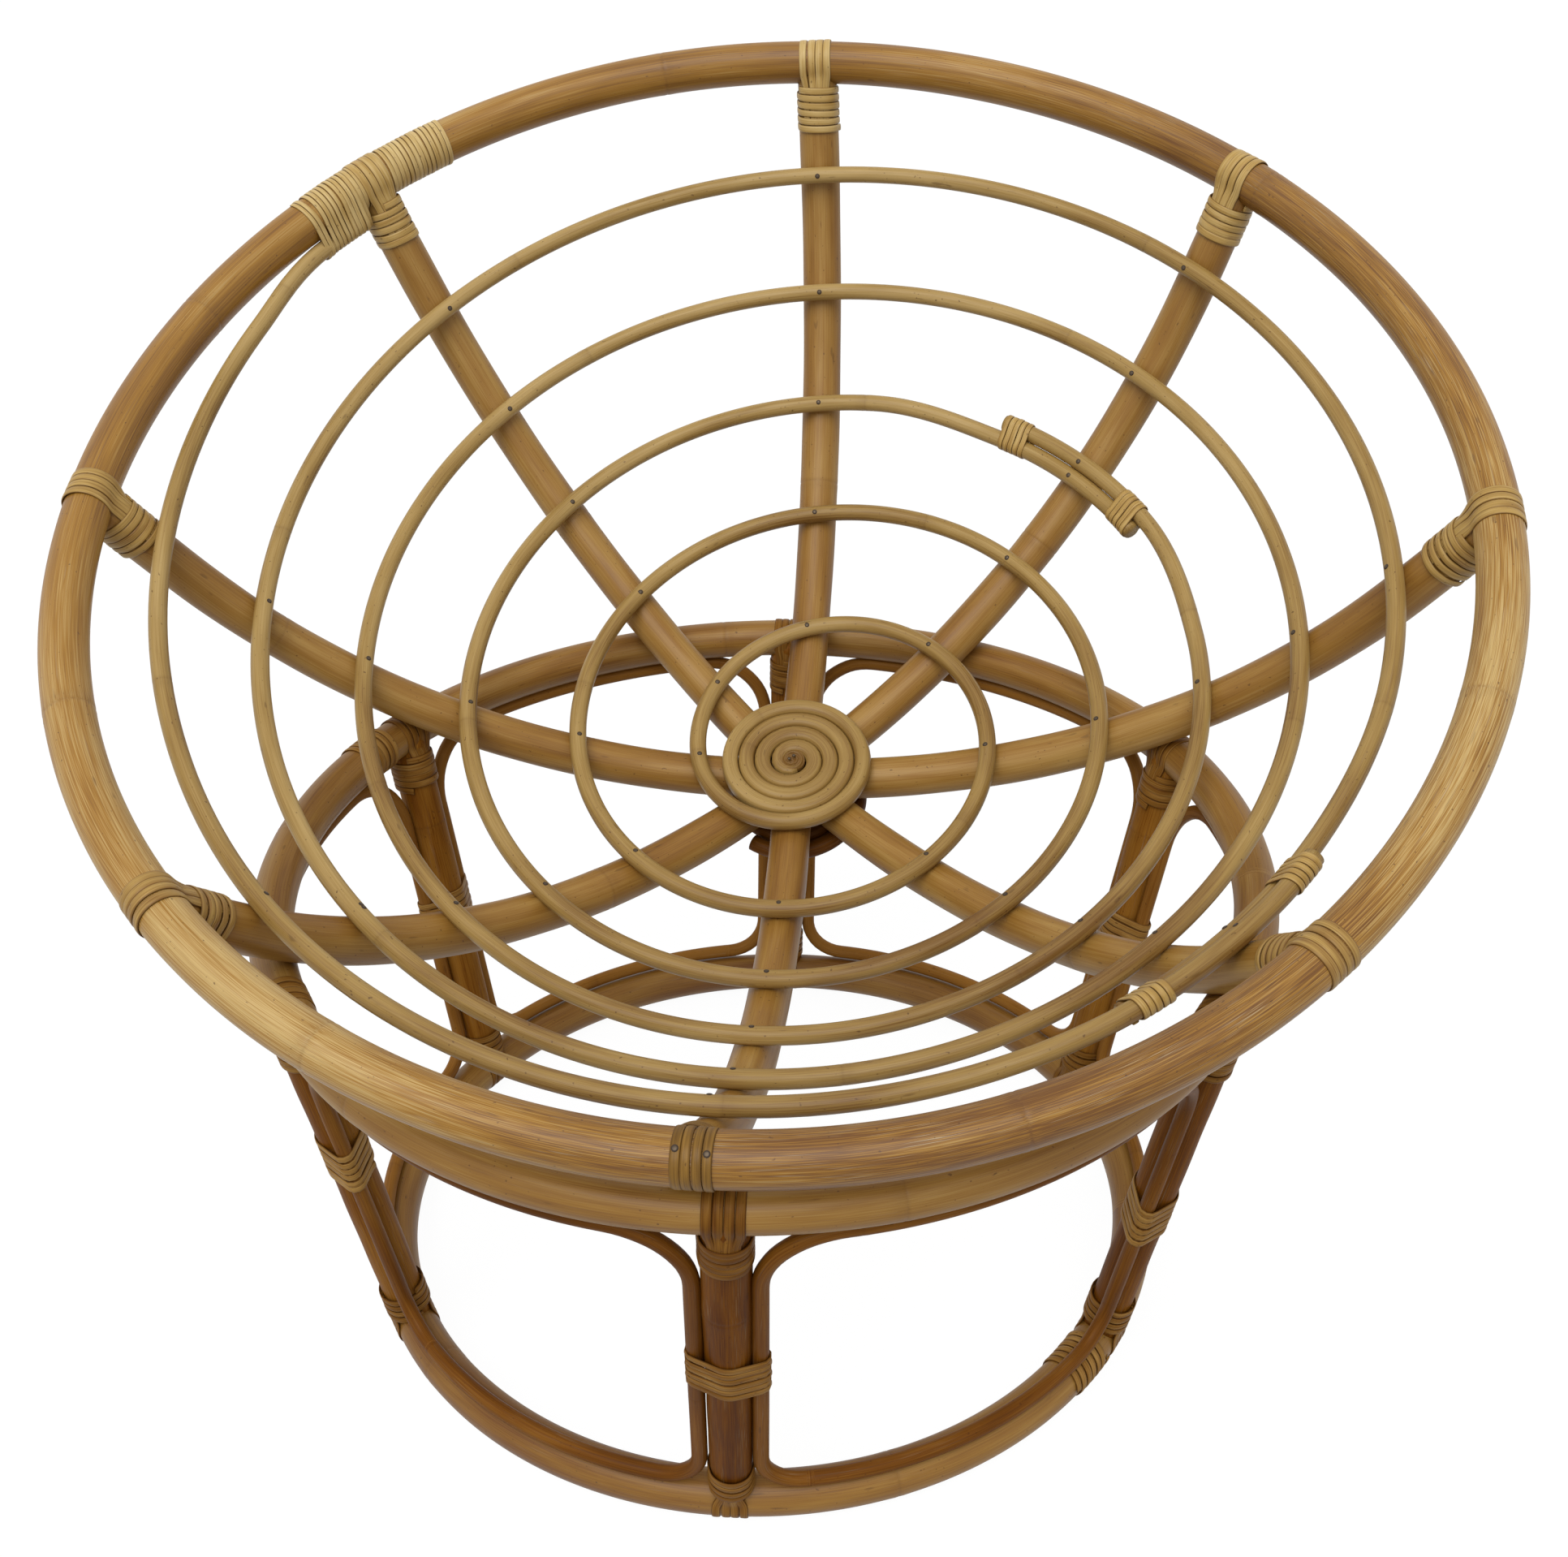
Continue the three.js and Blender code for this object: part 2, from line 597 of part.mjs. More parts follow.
/** The turns just before and just after a splice binding, where the strands stay straight. */
function bindingSpan(turn) {
  const round = 2 * Math.PI * STRAND_SPHERE * Math.sin(spiralPolar(turn));
  const half = (SPLICE_BINDING / 2 + 1.5) / round;
  return [turn - half, turn + half];
}

/** The turns at which a strand has its corners, at the same azimuths on every turn. */
function strandTurns(from, to) {
  const margin = 0.003;
  const spans = SPLICES.flatMap(({ bindings }) => bindings.map(bindingSpan));
  const open = (turn) => spans.every(([a, b]) => turn < a - margin || turn > b + margin);
  const first = Math.ceil((from + margin) * STRAND_STEPS);
  const count = Math.floor((to - margin) * STRAND_STEPS) - first + 1;
  const even = Array.from({ length: count }, (_, i) => (first + i) / STRAND_STEPS).filter(open);
  const tied = spans.flat().filter((turn) => turn > from && turn < to);
  return [from, ...[...even, ...tied].sort((a, b) => a - b), to];
}

/** Corners of one strand between two turns. */
function strandPoints(from, to, start, end) {
  return strandTurns(from, to).map((turn) => {
    return turn > SPIRAL_END.eases ? endPoint(turn) : strandPoint(turn, stepAside(turn, start, end));
  });
}

/** Least distance between two stretches of a wound strand that are half a turn apart. */
function leastGap(points, radius) {
  let least = Infinity;
  const apart = 10;
  for (let i = 0; i < points.length - 1; i++) {
    for (let j = i + apart; j < points.length - 1; j++) {
      for (const share of [0, 0.25, 0.5, 0.75]) {
        const here = points[i].clone().lerp(points[i + 1], share);
        const line = new THREE.Line3(points[j], points[j + 1]);
        const there = line.closestPointToPoint(here, true, new THREE.Vector3());
        least = Math.min(least, here.distanceTo(there) - 2 * radius);
      }
    }
  }
  return least;
}

/** The binding that ties two strand ends side by side, at a turn of the spiral. */
function spliceBinding(turn) {
  const [inside, outside] = [-1, 1].map((aside) => {
    const [a, b] = bindingSpan(turn).map((place) => strandPoint(place, aside));
    return { middle: a.clone().add(b).divideScalar(2), along: b.sub(a).normalize() };
  });
  const centre = inside.middle.clone().add(outside.middle).divideScalar(2);
  const reach = inside.middle.distanceTo(outside.middle) / 2;
  const apart = outside.middle.clone().sub(inside.middle).normalize();
  const lift = apart.clone().cross(inside.along).normalize();
  const across = inside.along.clone().cross(lift).normalize();
  const outline = (extra) => {
    const radius = (STRAND + FIT + extra) / Math.cos(Math.PI / 8);
    const half = Array.from({ length: 5 }, (_, i) => {
      const angle = Math.PI * (i / 4 - 0.5);
      return new THREE.Vector2(reach + radius * Math.cos(angle), radius * Math.sin(angle));
    });
    return [...half, ...half.map(({ x, y }) => new THREE.Vector2(-x, -y))];
  };
  const matrix = placement(centre, across, lift, across.clone().cross(lift));
  return outlineSleeve(outline, 4, SPLICE_BINDING).applyMatrix4(matrix);
}

/** The ribbed disc of wound cane that closes the hub from below. */
function hubDiscGeometry() {
  const { turns, strand } = HUB_DISC;
  const pitch = 2 * strand;
  const upper = [new THREE.Vector2(0, strand)];
  for (let i = 0; i < turns; i++) {
    upper.push(new THREE.Vector2(pitch * (i + 0.5), strand));
    upper.push(new THREE.Vector2(pitch * (i + 1), i < turns - 1 ? strand * 0.75 : 0));
  }
  const under = upper.slice(0, -1).map(({ x, y }) => new THREE.Vector2(x, -y));
  const profile = [...under, ...upper.reverse()];
  return dropSlivers(new THREE.LatheGeometry(profile, 12).rotateX(Math.PI / 2));
}

/** Removes the triangles without area that a turned profile leaves on its axis. */
function dropSlivers(geometry) {
  const merged = mergeVertices(bareCopy(geometry), 1e-4);
  const old = merged.index.array;
  const kept = [];
  for (let i = 0; i < old.length; i += 3) {
    const [a, b, c] = [old[i], old[i + 1], old[i + 2]];
    if (a !== b && b !== c && c !== a) kept.push(a, b, c);
  }
  merged.setIndex(kept);
  merged.computeVertexNormals();
  return merged;
}

/** A geometry with positions only. */
function bareCopy(geometry) {
  const copy = geometry.clone();
  copy.deleteAttribute('normal');
  copy.deleteAttribute('uv');
  return copy;
}

/** A named piece with a material of its own. */
function piece(name, geometry, color, roughness = 0.5) {
  const material = new THREE.MeshStandardMaterial({ color, roughness, metalness: 0 });
  const mesh = new THREE.Mesh(geometry, material);
  mesh.name = name;
  return mesh;
}

/** The base: rings, legs, hoops and their lashings. */
function makeBase() {
  const base = new THREE.Group();
  base.add(piece('base_top_ring', ringPole(TOP_RING), RATTAN.base));
  base.add(piece('base_bottom_ring', ringPole(BOTTOM_RING), RATTAN.base));
  const cutters = {
    top: solid(ringPole(TOP_RING, FIT)),
    bottom: solid(ringPole(BOTTOM_RING, FIT)),
  };
  const floor = solid(new THREE.BoxGeometry(2000, 2000, 40).translate(0, 0, -20));
  LEGS.forEach(({ name, azimuth, binding }, i) => {
    const next = LEGS[(i + 1) % LEGS.length].azimuth;
    base.add(piece(`leg_${name}`, legGeometry(azimuth, cutters), RATTAN.base));
    base.add(piece(`hoop_${BAYS[i]}`, hoopGeometry(azimuth, next), RATTAN.hoop));
    base.add(piece(`top_lashing_${name}`, legLashing(azimuth, TOP_RING, 4), CANE_COLOUR));
    base.add(piece(`middle_binding_${name}`, middleBinding(azimuth, binding), CANE_COLOUR));
    base.add(piece(`bottom_lashing_${name}`, legLashing(azimuth, BOTTOM_RING, 3, floor), CANE_COLOUR));
  });
  for (const { name, ring, from, to, turns } of RING_SCARFS) {
    const cutter = ring === TOP_RING ? cutters.top : cutters.bottom;
    const sleeve = ringSleeve(ring, from, to, turns).subtract(cutter);
    base.add(piece(name, geometryOf(sleeve), CANE_COLOUR));
  }
  return base;
}

/** The strands of the spiral, spliced end to end. */
function makeSpiral(bowl) {
  const [first, second] = SPLICES;
  const hubStart = COIL.leaves - COIL.turns;
  const strands = [
    { name: 'spiral_inner', from: hubStart, to: first.end, end: first },
    { name: 'spiral_middle', from: first.start, to: second.end, start: first, end: second },
    { name: 'spiral_outer', from: second.start, to: SPIRAL_END.turn, start: second },
  ];
  for (const { name, from, to, start, end } of strands) {
    const points = strandPoints(from, to, start, end);
    console.log(`${name}: least gap to itself ${leastGap(points, STRAND).toFixed(2)} mm`);
    bowl.add(piece(name, pole(points, STRAND, 6), RATTAN.core));
  }
  SPLICES.flatMap(({ bindings }) => bindings).forEach((turn, i) => {
    bowl.add(piece(`splice_binding_${i + 1}`, spliceBinding(turn), CANE_COLOUR));
  });
}

/** The bowl: rim, ribs, hub, spiral and their lashings. */
function makeBowl() {
  const bowl = new THREE.Group();
  const rimCutter = solid(ringPole(RIM, FIT));
  bowl.add(piece('bowl_rim', ringPole(RIM), RATTAN.rim, 0.42));
  for (const rib of RIBS) {
    const coped = ribPole(rib, RIB_POLE).subtract(rimCutter);
    bowl.add(piece(`rib_${rib.name}`, geometryOf(coped), RATTAN.rib));
    const scarfed = rib.name === 'back_left';
    const lashing = scarfed ? scarfLashing(rib, rimCutter) : ribLashing(rib);
    bowl.add(piece(`rim_lashing_${rib.name}`, geometryOf(outerSkin(lashing)), CANE_COLOUR));
  }
  makeSpiral(bowl);
  const disc = piece('hub_lower_disc', hubDiscGeometry(), CANE_COLOUR);
  disc.position.set(0, -HUB_SHIFT, -(RIB_SPHERE + RIB_POLE + HUB_DISC.strand + 2 * FIT));
  bowl.add(disc);
  bowl.position.set(0, 0, SPHERE_HEIGHT);
  bowl.rotation.set(radians(TILT), 0, radians(TWIST));
  return bowl;
}

const chair = new THREE.Group();
chair.add(makeBase(), makeBowl());
const outline = new THREE.Box3().setFromObject(chair, true);
const middle = outline.getCenter(new THREE.Vector3());
chair.position.set(-middle.x, -middle.y, 0);
chair.updateMatrixWorld(true);
const hinge = point(-middle.x, -middle.y, SPHERE_HEIGHT);
console.log('hinge centre', hinge.toArray().map((value) => value.toFixed(2)));

export default chair;
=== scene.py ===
"""Papasan chair in rattan, dressed for the picture: round poles, wound cane lashings and small nails.

Lengths are in millimetres until mesh_piece turns them into metres. The base stands round the
Z axis. The bowl is worked out round the centre of its own sphere, which is where it tilts.
"""
import json
import math

import bpy
import numpy as np
from mathutils import Matrix


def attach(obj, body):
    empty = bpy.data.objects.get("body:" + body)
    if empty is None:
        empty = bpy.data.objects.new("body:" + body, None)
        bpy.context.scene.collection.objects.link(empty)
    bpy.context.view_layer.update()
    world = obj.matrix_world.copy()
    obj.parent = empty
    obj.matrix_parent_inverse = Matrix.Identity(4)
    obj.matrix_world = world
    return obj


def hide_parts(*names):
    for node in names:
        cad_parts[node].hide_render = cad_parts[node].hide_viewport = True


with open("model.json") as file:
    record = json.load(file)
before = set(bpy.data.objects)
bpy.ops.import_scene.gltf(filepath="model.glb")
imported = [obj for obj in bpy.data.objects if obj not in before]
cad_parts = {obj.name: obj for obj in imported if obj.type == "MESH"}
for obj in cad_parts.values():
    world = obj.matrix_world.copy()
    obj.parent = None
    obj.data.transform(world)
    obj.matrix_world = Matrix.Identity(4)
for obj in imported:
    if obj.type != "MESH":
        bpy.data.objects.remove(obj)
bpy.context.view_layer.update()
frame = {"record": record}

HINGE = np.array(frame["record"]["behaviour"]["joints"][0]["pos_m"]) * 1000
AXIS = np.array([HINGE[0], HINGE[1], 0.0])

# Base
TOP_RING = {"radius": 371.4, "height": 359.7, "pole": 16.2, "shift": 0.0,
            "radial": [(-1.8, 1.0), (-1.3, 0.0), (0.3, 1.0)],
            "level": [(-0.7, -0.5), (-0.5, 0.8), (-0.4, 0.9)]}
BOTTOM_RING = {"radius": 310.5, "height": 18.6, "pole": 16.4, "shift": -7.0,
               "radial": [(-2.2, 1.2), (1.0, 0.8)], "level": [(0.0, 0.0), (0.7, 1.0)]}
LEG_POLE = 16.2
# Azimuths of foot and top, how far up the middle binding is, and tones of leg, top lashing and binding.
LEGS = {
    # Painted shade: the front top lashing's low tone 0.28 stands for the rim's shadow over it.
    "front": (-88.5, -87.4, 0.50, (0.30, 0.28, 0.58)),
    "front_right": (-25.5, -25.5, 0.435, (0.40, 0.50, 0.68)),
    "back_right": (31.1, 30.3, 0.488, (0.75, 0.50, 0.68)),
    "back": (93.1, 92.9, 0.50, (0.55, 0.50, 0.68)),
    "back_left": (152.9, 152.3, 0.495, (0.65, 0.50, 0.68)),
    "front_left": (212.0, 212.8, 0.580, (0.62, 0.65, 0.85)),
}
# The bays between the legs, from the front leg round to the right, with the tones of their hoops.
BAYS = {"front_right": 0.50, "right": 0.85, "back_right": 0.95,
        "back_left": 0.95, "left": 0.85, "front_left": 0.50}
HOOP = {"pole": 5.9, "beside": 21.6, "top_corner": 55.0, "bottom_corner": 32.0, "forward": 3.0,
        "clear": 0.5}
# How deep a coped end reaches into the pole that it meets.
SUNK = 1.5

# Bowl
TILT = math.radians(23.9)
TWIST = math.radians(0.4)
RIB_SPHERE = 557.0
RIB_POLE = 16.9
RIM = {"radius": 517.0, "height": -217.2, "pole": 17.7, "shift": 0.0,
       "radial": [(0.7, -0.8), (-0.1, -0.9), (0.0, -1.2)], "level": [(-0.1, -0.4), (-0.3, 0.0), (2.5, -0.9)]}
RIM_PALE = [(-0.04, -0.04), (0.07, 0.03), (0.13, -0.13), (-0.09, -0.08)]
RIM_WORN = [(0.25, -0.25)]
# How far out from the sphere's middle, and how far below it, the ribs meet the rim.
RIM_MEETING = (517.4, 216.2)
RIM_POLAR = math.atan2(*RIM_MEETING)
HUB_SHIFT = 15.9
# How far from the hub's middle the ribs start.
RIB_START = 49
# Azimuth, its sweep in degrees a radian, turns of the rim lashing, and thickness against the usual.
RIBS = {
    "back": (89.0, 2.0, 5, 1.02),
    "back_right": (43.8, 3.2, 5, 1.02),
    "right": (-1.5, 1.5, 5, 1.03),
    "front_right": (-44.6, 0.2, 4, 0.97),
    "front": (-89.45, -2.3, 3, 1.00),
    "front_left": (-133.9, -2.8, 5, 1.04),
    "left": (-177.25, -3.5, 5, 1.02),
    "back_left": (136.05, 0.7, 5, 1.00),
}

# Spiral, hub and nails. A turn is a whole turn of the spiral, and turn 0 starts at SPIRAL_AZIMUTH.
STRAND = 7.15
STRAND_SPHERE = 532.8
COIL_OUTER = 63.3
COIL_PITCH = 13.9
COIL_TURNS = 4.0
COIL_SHARE = 0.20
# Where each splice starts and ends, and where its two bindings are.
SPLICES = [(2.4630, 2.5425, (2.470, 2.534)), (4.7214, 4.7815, (4.7272, 4.7754))]
SPIRAL_AZIMUTH = 225
SPIRAL_END = 5.240
RIM_JOIN = (5.192, 5.232)
EASED, EASED_FROM, EASED_TO = 0.006, 4.98, 5.06
# The strand's end lies on the rim's inner side, this far below the level.
BESIDE = math.radians(46)
BESIDE_GAP = 0.2
DISC = {"pole": 7.4, "inner": 7.7, "pitch": 15.2, "turns": 3.5, "below": 7.9}
PLUG = {"radius": 10.8, "dome": 11.0, "height": 3.0, "ridge": 0.85, "pitch": 4.2, "sunk": 3.6}
# Nail heads: radii and a height, the turns that are nailed, the places of the two in the hub, and
# the nailed strips of the front lashing with the angles of their nails round the rim.
NAIL_RADIUS = 2.2
HUB_NAIL_RADIUS = 1.5
FRONT_NAIL = {"radius": 2.3, "height": 0.6}
NAILED = (0.1, 5.1)
HUB_NAILS = ((1.6, 1.8), (-2.2, -1.6))
FRONT_NAILS = ((0, 1.92), (3, 1.80))

# Cane: thickness and widths of strips, and the room that a strip leaves round a pole.
CANE = 1.15
THIN_CANE = 1.0
LASHING_STRIP = 6.6
FRONT_STRIP = 6.2
FRONT_SLIDE = 6.6
STRIP_GAP = 0.15
ROOM = 0.35
CUT_LIFT = 0.9
MIDDLE_BAND = {"above": 21, "pitch": 6.5, "turns": 6, "width": 6.2}
SPLICE_BAND = {"start": -13.0, "pitch": 5.2, "turns": 5.2, "width": 5.0}
RIM_SCARF = {"start": 128.0, "end": 143.3, "turns": 31, "width": 4.15}
# The azimuths between which that winding widens to take in the strand's end.
STRAND_TAKEN_IN = (138.3, 138.9)
# How far the strips of the lashing beside the scarf's winding clear the rim.
OVER_SCARF = 1.45
# The azimuth of each loose end and the angles that it lies between, round the rim.
LOOSE_ENDS = ((143.7, 30, 262), (144.2, 60, 250))
LOOSE_WIDTH = 4.3
RING_SCARFS = {"top_ring_wrap": (TOP_RING, 156.6, 162.6), "bottom_ring_wrap": (BOTTOM_RING, -36.7, -29.3)}
RING_SCARF_TURNS = 6
RING_SCARF_WIDTH = 5.9

# Camera: focal length, picture size and optical middle in pixels, and the sensor's width.
FOCAL = 2394.42
PICTURE = (1932, 1918)
OPTICAL_MIDDLE = (971.47, 955.36)
SENSOR = 36.0
CAMERA_RIGHT = np.array([0.994705, 0.100917, -0.019448])
CAMERA_UP = np.array([-0.036620, 0.524843, 0.850411])
CAMERA_PLACE = np.array([158.14, -1222.24, 1199.67]) + AXIS

# Light: strengths of the floor, the sky and the lamp, and the lamp's width and lean in degrees.
FLOOR = {"size": 60.0, "albedo": 0.32, "glow": 1.20, "share": 0.80}
SKY_LIGHT = 0.60
LAMP = {"strength": 1.65, "width": 45, "lean": (35, -8)}
UP = np.array([0, 0, 1.0])


def unit(vectors):
    """Vectors divided by their own lengths."""
    return vectors / np.linalg.norm(vectors, axis=-1, keepdims=True)


def smoothstep(value, low, high):
    """0 below low, 1 above high, and 3t^2 - 2t^3 between them."""
    t = np.clip((value - low) / (high - low), 0, 1)
    return t * t * (3 - 2 * t)


def tilted(points):
    """Bowl coordinates turned by the twist about Z, then by the tilt about X, and moved to the hinge."""
    ca, sa = math.cos(TILT), math.sin(TILT)
    ct, st = math.cos(TWIST), math.sin(TWIST)
    turn = np.array([[1, 0, 0], [0, ca, -sa], [0, sa, ca]]) @ np.array([[ct, -st, 0], [st, ct, 0], [0, 0, 1]])
    return points @ turn.T + HINGE


def standing(points):
    """Base coordinates moved to the base's own axis."""
    return points + AXIS


def signed_volume(points, faces):
    """Sum of the tetrahedra from the origin to each face, split into triangles from its first corner."""
    a, b, c, d = (points[faces[:, k]] for k in range(4))
    total = np.einsum("ij,ij->i", a, np.cross(b, c)) + np.einsum("ij,ij->i", a, np.cross(c, d))
    return total.sum() / 6


def grid_faces(rows, columns, closed_rows):
    """Quads between neighbours on a rows by columns grid whose columns close on themselves."""
    row = np.arange(rows if closed_rows else rows - 1)[:, None] * columns
    column = np.arange(columns)[None, :]
    beside = (column + 1) % columns
    after = (row + columns) % (rows * columns)
    corners = [row + column, row + beside, after + beside, after + column]
    return np.stack([np.broadcast_to(c, (len(row), columns)) for c in corners], axis=-1).reshape(-1, 4)


def skin(rings, grain, closed=False):
    """A surface over rings[i, j], where i runs along a path and j round its section.

    Open ends close on the middle point of their last ring.
    """
    rows, columns = rings.shape[:2]
    points, coordinates = rings.reshape(-1, 3), grain.reshape(-1, 3)
    faces = grid_faces(rows, columns, closed)
    if not closed:
        j = np.arange(columns)
        last = (rows - 1) * columns
        for start, ring in ((0, j[::-1]), (last, j)):
            middle = len(points)
            points = np.vstack([points, points[start:start + columns].mean(axis=0)])
            coordinates = np.vstack([coordinates, coordinates[start:start + columns].mean(axis=0)])
            following = np.roll(ring, -1)
            hub = np.full(columns, middle)
            faces = np.vstack([faces, np.stack([start + ring, start + following, hub, hub], axis=-1)])
    return points, faces, coordinates


def joined(parts):
    """Several surfaces as one list of points, faces and grain coordinates."""
    offsets = np.cumsum([0] + [len(points) for points, _, _ in parts[:-1]])
    points = np.vstack([part[0] for part in parts])
    faces = np.vstack([part[1] + offset for part, offset in zip(parts, offsets)])
    return points, faces, np.vstack([part[2] for part in parts])


def outward(part):
    """The surface with its faces turned to point out of the volume that it holds."""
    points, faces, grain = part
    return (points, faces[:, ::-1], grain) if signed_volume(points, faces) < 0 else part


def mesh_piece(name, parts, body, replaced, look, tone=0.5, joints=None, wear=0.5):
    """One object from closed surfaces, moved to its body's place and turned into metres.

    A look is a material and its slot; the slot is not used. The tone, from dark 0 to pale 1, and the wear are
    numbers or functions of the points.
    """
    material, slot = look
    points, faces, grain = joined([outward(part) for part in parts])
    spread = {"tone": tone, "wear": wear, "joint": 0.0 if joints is None else joints}
    spread = {key: value(points) if callable(value) else np.broadcast_to(value, len(points)).astype(float)
              for key, value in spread.items()}
    points = (standing if body == "base" else tilted)(points) * 0.001
    mesh = bpy.data.meshes.new(name)
    polygons = [list(dict.fromkeys(face)) for face in faces.tolist()]
    mesh.from_pydata(points.tolist(), [], polygons)
    mesh.polygons.foreach_set("use_smooth", np.ones(len(polygons), dtype=bool))
    mesh.attributes.new("grain", "FLOAT_VECTOR", "POINT").data.foreach_set("vector", (grain * 0.001).ravel())
    for key, value in spread.items():
        mesh.attributes.new(key, "FLOAT", "POINT").data.foreach_set("value", value)
    mesh.materials.append(material)
    mesh.update()
    piece = bpy.data.objects.new(name, mesh)
    bpy.context.scene.collection.objects.link(piece)
    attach(piece, body)
    if replaced:
        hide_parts(*replaced)


def lengths(path):
    """Distance along a path at each of its points."""
    steps = np.linalg.norm(np.diff(path, axis=0), axis=1)
    return np.concatenate([[0], np.cumsum(steps)])


def interpolated(distances, known, values):
    """Rows of values, known at some distances along a path, at others."""
    return np.stack([np.interp(distances, known, values[:, k]) for k in range(3)], axis=-1)


def resampled(path, distances):
    """Points of a path at given distances along it."""
    return interpolated(distances, lengths(path), path)


def tangents(path, closed):
    """Directions along a path, from the point before to the point after."""
    if closed:
        return unit(np.roll(path, -1, axis=0) - np.roll(path, 1, axis=0))
    return unit(np.gradient(path, axis=0))


def joint_places(length, seed):
    """Distances of a pole's grown joints, 330 to 620 mm apart."""
    places = np.random.default_rng(seed).uniform(330, 620, 24).cumsum() - 180
    return places[(places > 60) & (places < length - 60)]


def stations(length, joints, step):
    """Distances along a pole: even steps, and fine steps at each joint."""
    even = np.linspace(0, length, max(int(length / step), 2) + 1)
    fine = (joints[:, None] + np.linspace(-9, 9, 13)[None, :]).ravel()
    fine = fine[(fine > 0.5) & (fine < length - 0.5)]
    merged = np.unique(np.concatenate([even, fine]))
    keep = np.concatenate([[True], np.diff(merged) > 0.4])
    keep[-1] = True
    return merged[keep]


def cope(radius, against, a):
    """How much further a pole reaches at its sides to meet a round pole: R - sqrt(R^2 - x^2)."""
    x = radius * np.cos(a)
    return against - np.sqrt(np.clip(against ** 2 - x ** 2, 4.0, None))


def pole(path, radius, outwards, seed, sides=24, closed=False, step=7.0, taper=None, meets=(None, None),
         pressed=None):
    """A rattan pole: point = path(s) + r(s, a) (cos a N + sin a B).

    N is the outwards direction made square to the path, and B is square to both. The radius
    r wanders by a slow sum of sines, and swells with a fine groove at each grown joint. An end
    that meets another pole, of a given radius, is coped to it. Pressed strands fill out at their
    four corners by a share of sin(2a) squared.
    """
    loop = np.vstack([path, path[:1]]) if closed else path
    length = lengths(loop)[-1]
    joints = joint_places(length, seed)
    s = stations(length, joints, step)
    if closed:
        s = s[:-1]
    centre = resampled(loop, s)
    along = tangents(centre, closed)
    out = interpolated(s, lengths(loop), np.vstack([outwards, outwards[:1]]) if closed else outwards)
    normal = unit(out - np.sum(out * along, axis=1, keepdims=True) * along)
    side = np.cross(along, normal)
    phase = np.random.default_rng(seed + 1).uniform(0, 2 * math.pi, 6)
    turns = 2 * math.pi * s / length
    wander = 0.010 * np.sin(2 * turns + phase[0]) + 0.007 * np.sin(5 * turns + phase[1])
    near = s[:, None] - joints[None, :]
    hump = (0.012 * np.exp(-(near / 6.0) ** 2) - 0.016 * np.exp(-(near / 1.3) ** 2)).sum(axis=1)
    dark = np.clip((0.5 * np.exp(-((near + 4) / 5.0) ** 2) + np.exp(-(near / 1.2) ** 2)).sum(axis=1), 0, 1)
    a = np.linspace(0, 2 * math.pi, sides, endpoint=False)[None, :]
    oval = 0.010 * np.cos(2 * a + phase[2] + turns[:, None])
    r = radius * (1 + wander[:, None] + hump[:, None] + oval)
    if taper is not None:
        r = r * taper(s / length)[:, None]
    if pressed is not None:
        r = r * (1 + pressed(s / length)[:, None] * np.sin(2 * a) ** 2)
    rings = centre[:, None, :] + r[..., None] * (
        np.cos(a)[..., None] * normal[:, None, :] + np.sin(a)[..., None] * side[:, None, :])
    shares = smoothstep(s, 30, 0), smoothstep(s, length - 30, length)
    for against, share, way in zip(meets, shares, (-1, 1)):
        if against is not None:
            reach = way * share[:, None] * cope(radius, against, a)
            rings = rings + reach[..., None] * along[:, None, :]
    run = np.broadcast_to(s[:, None] + 1700.0 * (seed % 97), r.shape)
    grain = np.stack([run, r * np.cos(a), r * np.sin(a)], axis=-1)
    part = skin(rings, grain, closed)
    shade = np.repeat(dark, sides)
    return part, np.concatenate([shade, np.zeros(len(part[0]) - len(shade))])


# A strip's section: places across it in widths, and heights over the pole in thicknesses.
STRIP_SECTION = np.array([
    [-0.50, 0.10], [-0.47, 0.62], [-0.34, 0.90], [-0.15, 1.00], [0.15, 1.00],
    [0.34, 0.90], [0.47, 0.62], [0.50, 0.10], [0.30, 0.0], [-0.30, 0.0],
])


def strip(path, outwards, width, thick, seed):
    """A flat cane strip: point = path(s) + x W + h N, with (x, h) on a flat section with soft edges.

    N is the outwards direction made square to the path and W is square to both. The third grain
    coordinate is 0 on the middle line and 1 at the edges.
    """
    along = tangents(path, False)
    normal = unit(outwards - np.sum(outwards * along, axis=1, keepdims=True) * along)
    across = np.cross(along, normal)
    s = lengths(path)
    wide = width * (1 + 0.05 * np.sin(s / 23.0 + seed))
    x = STRIP_SECTION[None, :, 0] * wide[:, None]
    h = np.broadcast_to(STRIP_SECTION[None, :, 1] * thick, x.shape)
    rings = path[:, None, :] + x[..., None] * across[:, None, :] + h[..., None] * normal[:, None, :]
    edge = np.broadcast_to(2000.0 * np.abs(STRIP_SECTION[:, 0]), x.shape)
    grain = np.stack([np.broadcast_to(s[:, None] + 900.0 * (seed % 89), x.shape), x, edge], axis=-1)
    return skin(rings, grain)


def smoothed(values, passes):
    """Each point moved to the mean of itself and its neighbours, some times over."""
    result = values.copy()
    for _ in range(passes):
        result[1:-1] = 0.25 * result[:-2] + 0.5 * result[1:-1] + 0.25 * result[2:]
    return result


def wavering(theta, size, seed):
    """A smooth wandering value along a winding: random knots every third of a turn."""
    knots = np.arange(0, theta[-1] + 4.2, 2.1)
    heights = np.random.default_rng(seed).normal(0, size, len(knots))
    return smoothed(np.interp(theta, knots, heights), 6)


